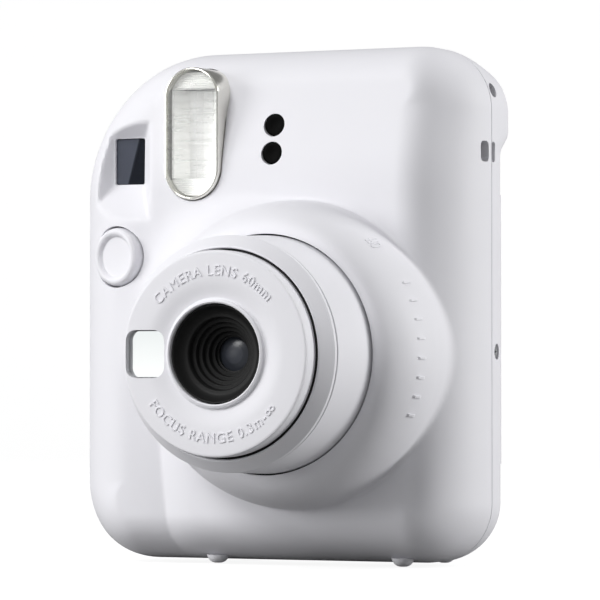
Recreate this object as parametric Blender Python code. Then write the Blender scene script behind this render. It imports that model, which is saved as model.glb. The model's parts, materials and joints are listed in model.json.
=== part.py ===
"""A small instant film camera, modelled as the separate pieces it is assembled from.

Frame: X runs along the camera's width (the grip is at -X), +Y points from the lens to the back, +Z is up.
The origin is under the middle of the camera, at the feet. Lengths below are in millimetres and become
metres when a mesh is made. "depth" is the distance behind the flat front of the body, so the lens has
negative depths.
"""

import math

import bmesh
import bpy
from mathutils import Matrix, Vector

MM = 0.001

# Driving dimensions of the body
BODY_WIDTH = 104.0
BODY_HEIGHT = 122.0
BODY_DEPTH = 39.0
HUMP_DEPTH = 5.0
FOOT_HEIGHT = 1.0
SEAM_DEPTH = 22.5
SEAM_GAP = 0.3
WALL = 2.0
GAP = 0.3

# Driving dimensions of the lens
LENS_X = 12.0
LENS_Z = 49.8
PLATE_FRONT = -42.0
PLATE_RADIUS = 23.4
RING_RADIUS = 27.5
DOME_RADIUS = 36.25
DOME_LIP = -17.3
BORE_RADIUS = 27.9

# Worked out from the driving dimensions
HALF_WIDTH = BODY_WIDTH / 2
BOTTOM = FOOT_HEIGHT
TOP = FOOT_HEIGHT + BODY_HEIGHT
FRONT_Y = -(BODY_DEPTH + HUMP_DEPTH + PLATE_FRONT) / 2

# Body outline: corner radii, and how far the front and back edges round off
CORNERS = {"top_right": 17.0, "top_left": 40.0, "bottom_left": 22.0, "bottom_right": 20.0}
CORNER_STEPS = {"top_right": 6, "top_left": 8, "bottom_left": 6, "bottom_right": 6}
FRONT_ROUND_RIGHT = 15.0
FRONT_ROUND_LEFT = 20.0
FRONT_ROUND_TOP = 9.0
FRONT_ROUND_BOTTOM = 11.0
FRONT_ROUND_DEPTH = 17.0
REAR_ROUND = 10.0
ROUND_STEPS = 5
LEAN_START = 93.0
LEAN_BLEND = 5.0
LEAN_SLOPE = math.tan(math.radians(12.0))
HUMP_MIDDLE = 106.0
HUMP_HALF_HEIGHT = 12.0
FOOT_X = (-13.8, 35.0)
FRONT_FOOT_DEPTH = 9.5
REAR_FOOT_DEPTH = 33.0

# Film door and its hinge, behind the film chamber
DOOR_LEFT = -25.0
DOOR_RIGHT = 48.4
DOOR_BOTTOM = 6.2
DOOR_TOP = 93.4
HINGE_X = 48.6
HINGE_DEPTH = 33.2
KNUCKLE_BOTTOM = 24.0
KNUCKLE_TOP = 88.0
PIN_OVERHANG = 2.5
DOOR_WINDOW_X = -14.0
DOOR_WINDOW_Z = 24.0

# Battery door, on the grip side
BATTERY_DOOR_BOTTOM = 12.0
BATTERY_DOOR_TOP = 64.0
BATTERY_DOOR_FRONT = 24.3
BATTERY_DOOR_REAR = 33.6
BATTERY_DOOR_SWING_GAP = 0.9
BATTERY_HINGE_X = -50.7
BATTERY_HINGE_DEPTH = 24.9
BATTERY_KNUCKLE_BOTTOM = 22.0
BATTERY_KNUCKLE_TOP = 60.0
BATTERY_X = -36.5
BATTERY_RADIUS = 7.1
BATTERY_BOTTOM = 12.8
BATTERY_LENGTH = 50.0
BATTERY_DEPTHS = {"front": 14.4, "rear": 28.9}

# Shutter button
BUTTON_CENTRE = (-36.8, 0.7, 73.5)
BUTTON_TILT = math.radians(16.0)
BUTTON_RADIUS = 7.4

# Flash, viewfinder, sensors
FLASH_X = -15.6
FLASH_Z = 102.5
FLASH_WIDTH = 14.6
FLASH_HEIGHT = 31.6
FLASH_FRONT = -1.1
FINDER_X = -36.5
FINDER_Z = 96.7
FINDER_DEPTH = 7.5
EYEPIECE_X = -33.0
EYEPIECE_Z = 102.4
SENSOR_X = 4.8
SENSOR_HEIGHTS = (97.4, 104.1)
SENSOR_RADIUS = 2.75

# Print counter
DIAL_X = -34.0
DIAL_Z = 72.6
COUNTER_WINDOW_RISE = 5.2

# Film chamber, rollers and gear train
CHAMBER = {"left": -20.5, "right": 44.5, "bottom": 13.0, "top": 100.2, "front": 14.2, "rear": 33.6}
CHAMBER_WALL = 1.4
PACK_CLEARANCE = 0.4
PACK_THICKNESS = 17.4
PICTURE_WIDTH = 46.0
PICTURE_HEIGHT = 62.0
PRINT_WIDTH = 56.0
ROLLER_Z = 105.5
ROLLER_RADIUS = 3.3
DRIVE_ROLLER_DEPTH = 22.8
ROLLER_SPACING = 7.15
ROLLER_LEFT = -18.5
ROLLER_RIGHT = 42.0
GEAR_MODULE = 0.5
GEAR_LEFT = -27.4
GEAR_WIDTH = 2.4
SHAFT_RADIUS = 1.0
MOTOR_DEPTH = 24.0
MOTOR_Z = 84.2
MESH_SLACK = 0.15

COLOURS = {
    "white_plastic": ((0.86, 0.87, 0.88), 0.38, 0.0),
    "black_plastic": ((0.012, 0.012, 0.014), 0.45, 0.0),
    "clear_plastic": ((0.80, 0.83, 0.84), 0.08, 0.0),
    "smoked_glass": ((0.05, 0.06, 0.08), 0.05, 0.0),
    "champagne_chrome": ((0.42, 0.41, 0.36), 0.25, 0.9),
    "mirror": ((0.90, 0.91, 0.92), 0.03, 1.0),
    "lens_glass": ((0.10, 0.11, 0.14), 0.02, 0.0),
    "steel": ((0.55, 0.56, 0.57), 0.30, 1.0),
    "spring_steel": ((0.45, 0.46, 0.47), 0.35, 1.0),
    "aluminium": ((0.78, 0.79, 0.80), 0.20, 1.0),
    "rubber": ((0.02, 0.02, 0.02), 0.85, 0.0),
    "green_board": ((0.02, 0.12, 0.05), 0.55, 0.0),
    "battery_sleeve": ((0.10, 0.10, 0.11), 0.35, 0.2),
    "gear_nylon": ((0.70, 0.70, 0.66), 0.50, 0.0),
}


# ---------------------------------------------------------------- scene and mesh helpers

def clear_scene():
    for obj in list(bpy.data.objects):
        bpy.data.objects.remove(obj, do_unlink=True)


def material(name):
    found = bpy.data.materials.get(name)
    if found:
        return found
    colour, roughness, metallic = COLOURS[name]
    made = bpy.data.materials.new(name)
    made.use_nodes = True
    shader = made.node_tree.nodes["Principled BSDF"]
    shader.inputs["Base Color"].default_value = (*colour, 1.0)
    shader.inputs["Roughness"].default_value = roughness
    shader.inputs["Metallic"].default_value = metallic
    made.diffuse_color = (*colour, 1.0)
    return made


def point(x, depth, z):
    """World position, in metres, of a place given in millimetres."""
    return Vector((x * MM, (FRONT_Y + depth) * MM, z * MM))


def finish(name, mesh_data, finish_name=None, origin=None):
    """Makes an object from a bmesh. Its origin goes to the given place, so that it turns about its joint."""
    bmesh.ops.remove_doubles(mesh_data, verts=mesh_data.verts, dist=1e-7)
    bmesh.ops.triangulate(mesh_data, faces=mesh_data.faces)
    bmesh.ops.recalc_face_normals(mesh_data, faces=mesh_data.faces)
    mesh = bpy.data.meshes.new(name)
    mesh_data.to_mesh(mesh)
    mesh_data.free()
    obj = bpy.data.objects.new(name, mesh)
    bpy.context.scene.collection.objects.link(obj)
    if origin is not None:
        place = point(*origin)
        mesh.transform(Matrix.Translation(-place))
        obj.location = place
    if finish_name:
        mesh.materials.append(material(finish_name))
        mesh.shade_smooth()
        mesh.set_sharp_from_angle(angle=math.radians(35))
    return obj


def boolean(obj, other, operation="DIFFERENCE"):
    """Cuts or joins with another object, which stays in the file as a hidden helper."""
    other.hide_render = True
    other.display_type = "WIRE"
    modifier = obj.modifiers.new(operation.title() + " " + other.name, "BOOLEAN")
    modifier.operation = operation
    # The exact solver leaves doubled faces where these many-sided shells cross, so they use the manifold one.
    modifier.solver = "MANIFOLD"
    modifier.object = other
    return obj


def join(obj, other):
    return boolean(obj, other, "UNION")


def keep_inside(obj, other):
    return boolean(obj, other, "INTERSECT")


def loft(name, rings, finish_name=None, origin=None, closed_tube=False):
    """Skins closed rings of (x, depth, z) points; caps both ends, or joins the last ring to the first."""
    work = bmesh.new()
    loops = [[work.verts.new(point(*place)) for place in ring] for ring in rings]
    pairs = list(zip(loops, loops[1:]))
    if closed_tube:
        pairs.append((loops[-1], loops[0]))
    for lower, upper in pairs:
        for index in range(len(lower)):
            after = (index + 1) % len(lower)
            work.faces.new((lower[index], lower[after], upper[after], upper[index]))
    if not closed_tube:
        work.faces.new(loops[0][::-1])
        work.faces.new(loops[-1])
    return finish(name, work, finish_name, origin)


def box(name, x_range, depth_range, z_range, finish_name=None, origin=None):
    rings = [
        [(x_range[0], depth, z_range[0]), (x_range[1], depth, z_range[0]),
         (x_range[1], depth, z_range[1]), (x_range[0], depth, z_range[1])]
        for depth in depth_range
    ]
    return loft(name, rings, finish_name, origin)


def rounded_rectangle(centre_x, centre_z, width, height, radius, steps=5):
    """(x, z) points of a rectangle with round corners; with radius = width / 2 it is a stadium."""
    points = []
    for corner in range(4):
        start = math.radians(90 * corner)
        sign_x = 1 if corner in (0, 3) else -1
        sign_z = 1 if corner in (0, 1) else -1
        middle_x = centre_x + sign_x * (width / 2 - radius)
        middle_z = centre_z + sign_z * (height / 2 - radius)
        for step in range(steps + 1):
            angle = start + math.radians(90) * step / steps
            points.append((middle_x + radius * math.cos(angle), middle_z + radius * math.sin(angle)))
    return points


def circle(centre_x, centre_z, radius, steps=24):
    turns = [2 * math.pi * step / steps for step in range(steps)]
    return [(centre_x + radius * math.cos(turn), centre_z + radius * math.sin(turn)) for turn in turns]


def extruded(name, outline, depth_range, finish_name=None, origin=None):
    """A prism along the depth from an (x, z) outline."""
    rings = [[(x, depth, z) for x, z in outline] for depth in depth_range]
    return loft(name, rings, finish_name, origin)


def across(name, outline, x_range, finish_name=None, origin=None):
    """A prism along X from a (depth, z) outline."""
    rings = [[(x, depth, z) for depth, z in outline] for x in x_range]
    return loft(name, rings, finish_name, origin)


def upright(name, outline, z_range, finish_name=None, origin=None):
    """A prism along Z from an (x, depth) outline."""
    rings = [[(x, depth, z) for x, depth in outline] for z in z_range]
    return loft(name, rings, finish_name, origin)


def turned(name, profile, finish_name=None, centre=(LENS_X, LENS_Z), steps=36, origin=None):
    """Spins a closed (radius, depth) profile about an axis that runs along the depth."""
    work = bmesh.new()
    verts = [work.verts.new(point(centre[0] + radius, depth, centre[1])) for radius, depth in profile]
    edges = [work.edges.new((vert, verts[(index + 1) % len(verts)])) for index, vert in enumerate(verts)]
    on_axis = [edge for edge in edges if all(abs(v.co.x - centre[0] * MM) < 1e-9 for v in edge.verts)]
    for edge in on_axis:
        edges.remove(edge)
        work.edges.remove(edge)
    bmesh.ops.spin(
        work, geom=verts + edges, cent=point(centre[0], 0, centre[1]), axis=(0, 1, 0),
        angle=2 * math.pi, steps=steps, use_merge=True, use_duplicate=False,
    )
    return finish(name, work, finish_name, origin)


def coil(name, base, direction, radius, wire, length, turns, finish_name):
    """A helical spring whose wire has a square section, so that it stays light."""
    axis = Vector(direction).normalized()
    side = axis.orthogonal().normalized()
    other = axis.cross(side)
    start = point(*base)
    steps = turns * 10
    rings = []
    for step in range(steps + 1):
        turn = 2 * math.pi * turns * step / steps
        outward = side * math.cos(turn) + other * math.sin(turn)
        middle = start + axis * (length * step / steps * MM) + outward * (radius * MM)
        rings.append([middle + outward * (a * wire * MM) + axis * (b * wire * MM)
                      for a, b in ((1, 0), (0, 1), (-1, 0), (0, -1))])
    work = bmesh.new()
    loops = [[work.verts.new(place) for place in ring] for ring in rings]
    for lower, upper in zip(loops, loops[1:]):
        for index in range(4):
            after = (index + 1) % 4
            work.faces.new((lower[index], lower[after], upper[after], upper[index]))
    work.faces.new(loops[0][::-1])
    work.faces.new(loops[-1])
    return finish(name, work, finish_name)


# ---------------------------------------------------------------- body shell

def lean(z):
    """How far the upper front leans back at a height: nothing low down, then a steady slope."""
    over = z - LEAN_START
    if over <= -LEAN_BLEND:
        return 0.0
    if over >= LEAN_BLEND:
        return LEAN_SLOPE * over
    return LEAN_SLOPE * (over + LEAN_BLEND) ** 2 / (4 * LEAN_BLEND)


def body_outline():
    """((corner x, corner z), (normal x, normal z), corner radius) of each place round the body."""
    corner_places = [
        ("top_right", 1, 1, 0.0), ("top_left", -1, 1, 90.0),
        ("bottom_left", -1, -1, 180.0), ("bottom_right", 1, -1, 270.0),
    ]
    stations = []
    for name, sign_x, sign_z, start in corner_places:
        radius = CORNERS[name]
        middle = (sign_x * (HALF_WIDTH - radius), (TOP if sign_z > 0 else BOTTOM) - sign_z * radius)
        for step in range(CORNER_STEPS[name] + 1):
            angle = math.radians(start + 90.0 * step / CORNER_STEPS[name])
            stations.append((middle, (math.cos(angle), math.sin(angle)), radius))
    filled = []
    for index, (middle, normal, radius) in enumerate(stations):
        filled.append((middle, normal, radius))
        next_middle, next_normal, next_radius = stations[(index + 1) % len(stations)]
        if next_middle == middle:
            continue
        # A straight side: points at equal distances between the two corners.
        span = math.dist(middle, next_middle)
        pieces = max(1, round(span / 14.0))
        for piece in range(1, pieces):
            share = piece / pieces
            between = tuple(a + (b - a) * share for a, b in zip(middle, next_middle))
            filled.append((between, normal, radius + (next_radius - radius) * share))
    return filled


def body_ring(stations, inset_of, depth_of):
    ring = []
    for middle, normal, radius in stations:
        reach = radius - inset_of(normal)
        x = middle[0] + reach * normal[0]
        z = middle[1] + reach * normal[1]
        ring.append((x, depth_of(normal, z), z))
    return ring


def straightened(stations):
    """Moves each straight side's middle points so that radius and corner agree along the side."""
    result = []
    for middle, normal, radius in stations:
        if abs(normal[0]) > 0.999:
            middle = (math.copysign(HALF_WIDTH - radius, normal[0]), middle[1])
        if abs(normal[1]) > 0.999:
            middle = (middle[0], (TOP - radius) if normal[1] > 0 else (BOTTOM + radius))
        result.append((middle, normal, radius))
    return result


def body_solid(name, inset=0.0, front_inset=0.0, rear_depth=BODY_DEPTH):
    """The body as one solid: the rounded outline lofted from its front to its back."""
    stations = straightened(body_outline())

    def front_round(normal):
        across_round = FRONT_ROUND_RIGHT if normal[0] > 0 else FRONT_ROUND_LEFT
        upright_round = FRONT_ROUND_TOP if normal[1] > 0 else FRONT_ROUND_BOTTOM
        return across_round * normal[0] ** 2 + upright_round * normal[1] ** 2

    def front_reach(normal):
        return SEAM_DEPTH * normal[0] ** 2 + FRONT_ROUND_DEPTH * normal[1] ** 2

    rings = []
    for fraction in (0.6, 0.3):
        edge = body_ring(stations, lambda n: inset + front_round(n), lambda n, z: 0.0)
        middle_x, middle_z = 0.0, (TOP + BOTTOM) / 2
        ring = []
        for x, _, z in edge:
            ring_x = middle_x + (x - middle_x) * (1 - fraction)
            ring_z = middle_z + (z - middle_z) * (1 - fraction)
            ring.append((ring_x, front_inset + lean(ring_z), ring_z))
        rings.append(ring)
    for step in range(ROUND_STEPS, 0, -1):
        angle = math.radians(90.0 * step / ROUND_STEPS)
        rings.append(body_ring(
            stations,
            lambda n: inset + (front_round(n) - min(inset, 1.5)) * (1 - math.cos(angle)),
            lambda n, z: front_inset * math.sin(angle)
            + front_reach(n) * (1 - math.sin(angle)) + lean(z) * math.sin(angle),
        ))
    rings.append(body_ring(stations, lambda n: inset, lambda n, z: SEAM_DEPTH))
    reach = rear_depth - SEAM_DEPTH
    for step in range(1, ROUND_STEPS + 1):
        angle = math.radians(90.0 * step / ROUND_STEPS)
        rings.append(body_ring(
            stations,
            lambda n: inset + (REAR_ROUND - inset) * (1 - math.cos(angle)),
            lambda n, z: SEAM_DEPTH + reach * math.sin(angle),
        ))
    return loft(name, rings)


def hump_prism(name, inset=0.0):
    """The bar across the upper back that the eyepiece sits in, as a long rounded block."""
    steps = 10
    half_height = HUMP_HALF_HEIGHT - inset
    start = BODY_DEPTH - WALL - 3.0
    outline = [(start, HUMP_MIDDLE + half_height)]
    for step in range(steps + 1):
        angle = math.radians(90.0 - 180.0 * step / steps)
        rise = (HUMP_DEPTH + 2.0) * max(0.0, math.cos(angle)) ** 0.6
        outline.append((BODY_DEPTH - 2.0 - inset + rise, HUMP_MIDDLE + half_height * math.sin(angle)))
    outline.append((start, HUMP_MIDDLE - half_height))
    return across(name, outline, (-HALF_WIDTH - 1, HALF_WIDTH + 1))


def dome_profile():
    """The swelling round the lens: straight where it meets the body, then a quarter ellipse to the lip."""
    steps = 7
    profile = [(DOME_RADIUS, 12.0)]
    reach = DOME_RADIUS - BORE_RADIUS - 0.2
    for step in range(steps + 1):
        angle = math.radians(90.0 * step / steps)
        profile.append((DOME_RADIUS - reach + reach * math.cos(angle), DOME_LIP * math.sin(angle)))
    profile.append((BORE_RADIUS, DOME_LIP + 0.3))
    profile.append((BORE_RADIUS, 12.0))
    return profile


def half_space(name, front, rear):
    size = 120.0
    return box(name, (-size, size), (front, rear), (-size, 2 * size))


def funnel(name, growth=0.0):
    """The tapered opening in front of the viewfinder window."""
    front = rounded_rectangle(FINDER_X, 95.6, 19.0 + 2 * growth, 23.0 + 2 * growth, 2.0, 2)
    rear = rounded_rectangle(FINDER_X, FINDER_Z, 8.4 + 2 * growth, 11.4 + 2 * growth, 0.6, 2)
    rear_depth = FINDER_DEPTH + (1.2 if growth == 0 else 0.6)
    return loft(name, [[(x, -2.5, z) for x, z in front], [(x, rear_depth, z) for x, z in rear]])


def tilted_disc(name, profile, steps=32, finish_name=None):
    """A turned piece on the shutter button's tilted axis. Depths count inwards from the body surface."""
    obj = turned(name, profile, finish_name, centre=(0.0, 0.0), steps=steps)
    turn = Matrix.Rotation(-BUTTON_TILT, 4, "Z")
    obj.data.transform(turn @ Matrix.Translation(-point(0, 0, 0)))
    obj.location = point(*BUTTON_CENTRE)
    return obj


def disc_profile(radius, front, rear):
    return [(0.0, front), (radius, front), (radius, rear), (0.0, rear)]


def build_front_cover():
    cover = body_solid("front_cover")
    dome = turned("dome_outside", [(0.0, 12.0)] + dome_profile()[:-2] + [(0.0, DOME_LIP)])
    join(cover, dome)
    boolean(cover, half_space("front_half", SEAM_DEPTH - SEAM_GAP / 2, 200.0))
    boolean(cover, body_solid("front_cavity", inset=WALL, front_inset=2.4))
    hollow = [(0.0, 30.0), (DOME_RADIUS - WALL, 30.0), (DOME_RADIUS - WALL, 0.0)]
    for step in range(1, 6):
        angle = math.radians(90.0 * step / 5)
        reach = DOME_RADIUS - WALL - BORE_RADIUS
        hollow.append((BORE_RADIUS + reach * math.cos(angle), (DOME_LIP + WALL) * math.sin(angle)))
    hollow += [(BORE_RADIUS, DOME_LIP - 5.0), (0.0, DOME_LIP - 5.0)]
    boolean(cover, turned("dome_inside", hollow))
    funnel_walls = funnel("finder_funnel_walls", growth=1.3)
    join(cover, keep_inside(funnel_walls, body_solid("funnel_limit", inset=0.6, front_inset=0.7)))
    boolean(cover, funnel("finder_funnel_inside"))
    seat = rounded_rectangle(FINDER_X, FINDER_Z, 9.4, 12.4, 0.9, 2)
    boolean(cover, extruded("finder_seat", seat, (FINDER_DEPTH + 0.2, 18.0)))
    boolean(cover, extruded(
        "flash_opening",
        rounded_rectangle(FLASH_X, FLASH_Z, FLASH_WIDTH + 2 * GAP, FLASH_HEIGHT + 2 * GAP, 7.3, 5),
        (-6.0, 14.0)))
    boolean(cover, tilted_disc("button_opening", disc_profile(BUTTON_RADIUS + GAP, -6.0, 9.0)))
    for index, height in enumerate(SENSOR_HEIGHTS):
        hole = circle(SENSOR_X, height, SENSOR_RADIUS, 20)
        boolean(cover, extruded(f"sensor_opening_{index}", hole, (-3.0, 12.0)))
    boolean(cover, grip_groove())
    boolean(cover, box("strap_slot_front", (49.0, 60.0), (16.1, 19.9), (95.2, 100.0)))
    for index, x in enumerate(FOOT_X):
        join(cover, foot(f"front_foot_{index}", x, FRONT_FOOT_DEPTH))
    cover.data.materials.append(material("white_plastic"))
    return cover


def grip_groove():
    """The crease between the grip and the rest of the front: a shallow wedge that fades out upwards."""
    rings = []
    stations = (
        (-21.0, -1.0, 9.0, 2.0),
        (-23.7, 15.0, 9.0, 2.0),
        (-24.6, 27.0, 8.0, 1.8),
        (-25.5, 48.0, 2.0, 0.1),
    )
    for x, z, half, sink in stations:
        rings.append([(x - half, -1.5, z), (x + half, -1.5, z), (x + 0.3, sink, z), (x - 0.3, sink, z)])
    return loft("grip_groove", rings)


def foot(name, x, depth):
    rings = []
    for radius, z in ((2.6, BOTTOM + 2.0), (2.2, BOTTOM + 0.2), (1.5, 0.0)):
        rings.append([(place_x, place_depth, z) for place_x, place_depth in circle(x, depth, radius, 12)])
    return loft(name, rings)


def build_rear_shell(name):
    """The whole back shell, before the doors are taken out of it."""
    shell = body_solid(name)
    hump = body_solid(name + "_hump", rear_depth=BODY_DEPTH + HUMP_DEPTH)
    keep_inside(hump, hump_prism(name + "_hump_prism"))
    join(shell, hump)
    boolean(shell, body_solid(name + "_cavity", inset=WALL, rear_depth=BODY_DEPTH - WALL))
    hump_hollow = body_solid(name + "_hump_hollow", inset=WALL, rear_depth=BODY_DEPTH + HUMP_DEPTH - WALL)
    keep_inside(hump_hollow, hump_prism(name + "_hump_hollow_prism", inset=WALL))
    boolean(shell, hump_hollow)
    boolean(shell, half_space(name + "_cut", -100.0, SEAM_DEPTH + SEAM_GAP / 2))
    return shell


def build_rear_cover():
    cover = build_rear_shell("rear_cover")
    boolean(cover, box(
        "door_opening", (DOOR_LEFT - GAP, 60.0), (31.6, 60.0), (DOOR_BOTTOM - GAP, DOOR_TOP + GAP)))
    boolean(cover, box(
        "battery_opening", (-60.0, -40.0),
        (BATTERY_DOOR_FRONT - BATTERY_DOOR_SWING_GAP, BATTERY_DOOR_REAR + BATTERY_DOOR_SWING_GAP),
        (BATTERY_DOOR_BOTTOM - GAP, BATTERY_DOOR_TOP + GAP)))
    boolean(cover, box("exit_slot", (-17.0, 41.0), (24.4, 28.8), (115.0, 130.0)))
    eyepiece = rounded_rectangle(EYEPIECE_X, EYEPIECE_Z, 8.6, 8.2, 1.6, 3)
    boolean(cover, extruded("eyepiece_opening", eyepiece, (36.0, 50.0)))
    counter = rounded_rectangle(DIAL_X, DIAL_Z + COUNTER_WINDOW_RISE, 8.6, 4.6, 1.0, 2)
    boolean(cover, extruded("counter_opening", counter, (34.0, 42.0)))
    boolean(cover, box("latch_track", (-33.6, -29.0), (36.0, 40.0), (37.0, 55.0)))
    boolean(cover, box("strap_slot_rear", (49.0, 60.0), (22.0, 24.4), (95.2, 100.0)))
    boolean(cover, across("side_screw_hole", circle(26.0, 50.6, 1.9, 12), (45.0, 60.0)))
    boolean(cover, across("upper_screw_hole", circle(24.9, 112.3, 1.7, 12), (44.0, 60.0)))
    for index, x in enumerate((-16.0, 38.0)):
        boolean(cover, upright(f"bottom_screw_hole_{index}", circle(x, 27.0, 1.9, 12), (-3.0, 5.0)))
    for index, x in enumerate(FOOT_X):
        join(cover, foot(f"rear_foot_{index}", x, REAR_FOOT_DEPTH))
    cover.data.materials.append(material("white_plastic"))
    return cover


def build_film_door():
    door = build_rear_shell("film_door")
    keep_inside(door, box("door_area", (DOOR_LEFT, DOOR_RIGHT), (31.9, 60.0), (DOOR_BOTTOM, DOOR_TOP)))
    join(door, upright("door_knuckle", circle(HINGE_X, HINGE_DEPTH, 1.5, 16), (KNUCKLE_BOTTOM, KNUCKLE_TOP)))
    boolean(door, upright("door_knuckle_bore", circle(HINGE_X, HINGE_DEPTH, 0.95, 12), (0.0, 120.0)))
    opening = rounded_rectangle(DOOR_WINDOW_X, DOOR_WINDOW_Z, 5.0, 18.0, 1.5, 3)
    boolean(door, extruded("door_window_opening", opening, (34.0, 42.0)))
    door.data.materials.append(material("white_plastic"))
    place_origin(door, (HINGE_X, HINGE_DEPTH, 50.0))
    pane = rounded_rectangle(DOOR_WINDOW_X, DOOR_WINDOW_Z, 4.4, 17.4, 1.3, 3)
    extruded("door_window", pane, (37.4, 38.6), "smoked_glass")
    upright("door_hinge_pin", circle(HINGE_X, HINGE_DEPTH, 0.65, 12),
            (KNUCKLE_BOTTOM - PIN_OVERHANG, KNUCKLE_TOP + PIN_OVERHANG), "steel")


def place_origin(obj, origin):
    """Moves an object's origin to a place without moving its shape."""
    place = point(*origin)
    obj.data.transform(Matrix.Translation(-place))
    obj.location = place


def build_battery_door():
    door = build_rear_shell("battery_door")
    keep_inside(door, box(
        "battery_door_area", (-60.0, -41.0), (BATTERY_DOOR_FRONT, BATTERY_DOOR_REAR),
        (BATTERY_DOOR_BOTTOM, BATTERY_DOOR_TOP)))
    knuckle = circle(BATTERY_HINGE_X, BATTERY_HINGE_DEPTH, 1.15, 12)
    bore = circle(BATTERY_HINGE_X, BATTERY_HINGE_DEPTH, 0.7, 10)
    join(door, upright("battery_knuckle", knuckle, (BATTERY_KNUCKLE_BOTTOM, BATTERY_KNUCKLE_TOP)))
    boolean(door, upright("battery_knuckle_bore", bore, (0.0, 120.0)))
    door.data.materials.append(material("white_plastic"))
    place_origin(door, (BATTERY_HINGE_X, BATTERY_HINGE_DEPTH, 38.0))
    pin = circle(BATTERY_HINGE_X, BATTERY_HINGE_DEPTH, 0.4, 10)
    upright("battery_door_pin", pin,
            (BATTERY_KNUCKLE_BOTTOM - PIN_OVERHANG, BATTERY_KNUCKLE_TOP + PIN_OVERHANG), "steel")


# ---------------------------------------------------------------- lens

def build_lens():
    """The pieces on the lens axis, from the front plate back to the sleeve in the body."""
    plate = turned("front_plate", [
        (11.5, -41.95), (12.2, -41.95), (12.5, -41.6), (22.6, PLATE_FRONT), (23.1, -41.85),
        (PLATE_RADIUS, -41.3), (23.2, -38.0), (11.5, -38.0)], "white_plastic")
    window = rounded_rectangle(LENS_X - 17.85, LENS_Z, 9.5, 10.9, 2.4, 4)
    boolean(plate, extruded("mirror_pocket", window, (-45.0, -38.7)))
    glass = rounded_rectangle(LENS_X - 17.85, LENS_Z, 8.9, 10.3, 2.1, 4)
    extruded("selfie_mirror", glass, (-40.0, -39.0), "mirror")
    turned("lens_baffle", [
        (11.2, -41.2), (11.2, -33.6), (21.0, -33.6), (21.0, -32.4), (4.2, -32.4), (4.2, -33.2), (5.2, -33.2),
        (5.2, -34.4), (6.2, -34.4), (6.2, -35.6), (7.2, -35.6), (7.2, -36.8), (8.3, -36.8), (8.4, -38.6),
        (10.9, -41.2)], "black_plastic", steps=28)
    turned("lens_cell", [
        (3.9, -32.1), (9.0, -32.1), (9.0, -27.0), (18.6, -27.0), (18.6, -26.2), (4.4, -26.2),
        (4.4, -31.3), (3.9, -31.3)], "black_plastic", steps=24)
    turned("front_lens", lens_profile(4.0, -30.9, 1.2, 0.7), "lens_glass", steps=20)
    turned("rear_lens", lens_profile(4.0, -28.2, 0.9, 0.5), "lens_glass", steps=20)
    build_shutter()
    turned("lens_barrel", [
        (12.6, -37.2), (23.6, -37.2), (23.6, -33.0), (25.5, -33.0), (25.5, -8.0), (24.0, -8.0),
        (24.0, -31.6), (22.2, -31.6), (22.2, -35.8), (12.6, -35.8)], "black_plastic", steps=32)
    turned("ring_trim", [
        (23.9, -37.5), (24.3, -37.7), (26.6, -35.4), (26.9, -34.7), (26.9, -33.6), (23.9, -33.6)],
        "white_plastic")
    turned("twist_ring", [
        (25.8, -33.3), (26.95, -33.3), (27.1, -33.0), (RING_RADIUS, -17.0), (RING_RADIUS, -11.5),
        (25.8, -11.5)], "white_plastic")
    turned("helicoid_sleeve", [
        (28.2, -14.6), (29.4, -14.6), (29.4, 8.0), (33.4, 8.0), (33.4, 9.4), (28.2, 9.4)], "black_plastic")


def lens_profile(radius, middle, front_bulge, rear_bulge):
    """A lens element: two curved faces and a cylindrical rim."""
    rim = 0.25
    steps = 4
    profile = []
    for step in range(steps + 1):
        share = step / steps
        profile.append((radius * share, middle - rim - front_bulge * (1 - share ** 2)))
    for step in range(steps, -1, -1):
        share = step / steps
        profile.append((radius * share, middle + rim + rear_bulge * (1 - share ** 2)))
    return profile


def build_shutter():
    """Two leaves between the lens cell and the housing, each on a pin beside the light path."""
    housing = turned("shutter_housing", [
        (5.0, -23.6), (17.8, -23.6), (17.8, -25.9), (23.7, -25.9), (23.7, -20.5), (5.0, -20.5)],
        "black_plastic", steps=28)
    for side in (1, -1):
        pin_x, pin_z = LENS_X + 14.5, LENS_Z + side * 3.0
        join(housing, extruded(f"leaf_pin_{side}", circle(pin_x, pin_z, 0.8, 12), (-25.7, -22.0)))
        name = "shutter_blade_upper" if side > 0 else "shutter_blade_lower"
        front = -25.4 if side > 0 else -24.7
        outline = [(LENS_X - 7.0, LENS_Z - side * 1.0), (LENS_X + 8.0, LENS_Z - side * 1.0),
                   (LENS_X + 12.5, LENS_Z + side * 0.9), (LENS_X + 16.0, LENS_Z + side * 1.6),
                   (LENS_X + 16.4, LENS_Z + side * 4.0),
                   (LENS_X + 14.0, LENS_Z + side * 5.4), (LENS_X + 4.0, LENS_Z + side * 7.0),
                   (LENS_X - 5.0, LENS_Z + side * 6.0)]
        blade = extruded(name, outline, (front, front + 0.35), "steel")
        boolean(blade, extruded(name + "_hole", circle(pin_x, pin_z, 1.1, 12), (-30.0, -20.0)))
        place_origin(blade, (pin_x, front, pin_z))


# ---------------------------------------------------------------- front pieces

def build_shutter_button():
    tilted_disc("shutter_button", [
        (0.0, -0.1), (4.4, -0.1), (4.8, -0.4), (5.4, -1.0), (6.2, -1.25), (6.9, -0.95),
        (BUTTON_RADIUS, -0.1), (BUTTON_RADIUS, 2.6), (0.0, 2.6)], finish_name="white_plastic")
    inward = (math.sin(BUTTON_TILT), math.cos(BUTTON_TILT), 0.0)
    start = [c + d * 4.3 for c, d in zip(BUTTON_CENTRE, inward)]
    coil("shutter_button_spring", start, inward, 3.0, 0.28, 2.3, 2, "spring_steel")
    tilted_disc("shutter_switch", disc_profile(4.2, 7.1, 9.6), steps=16, finish_name="black_plastic")


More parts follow.
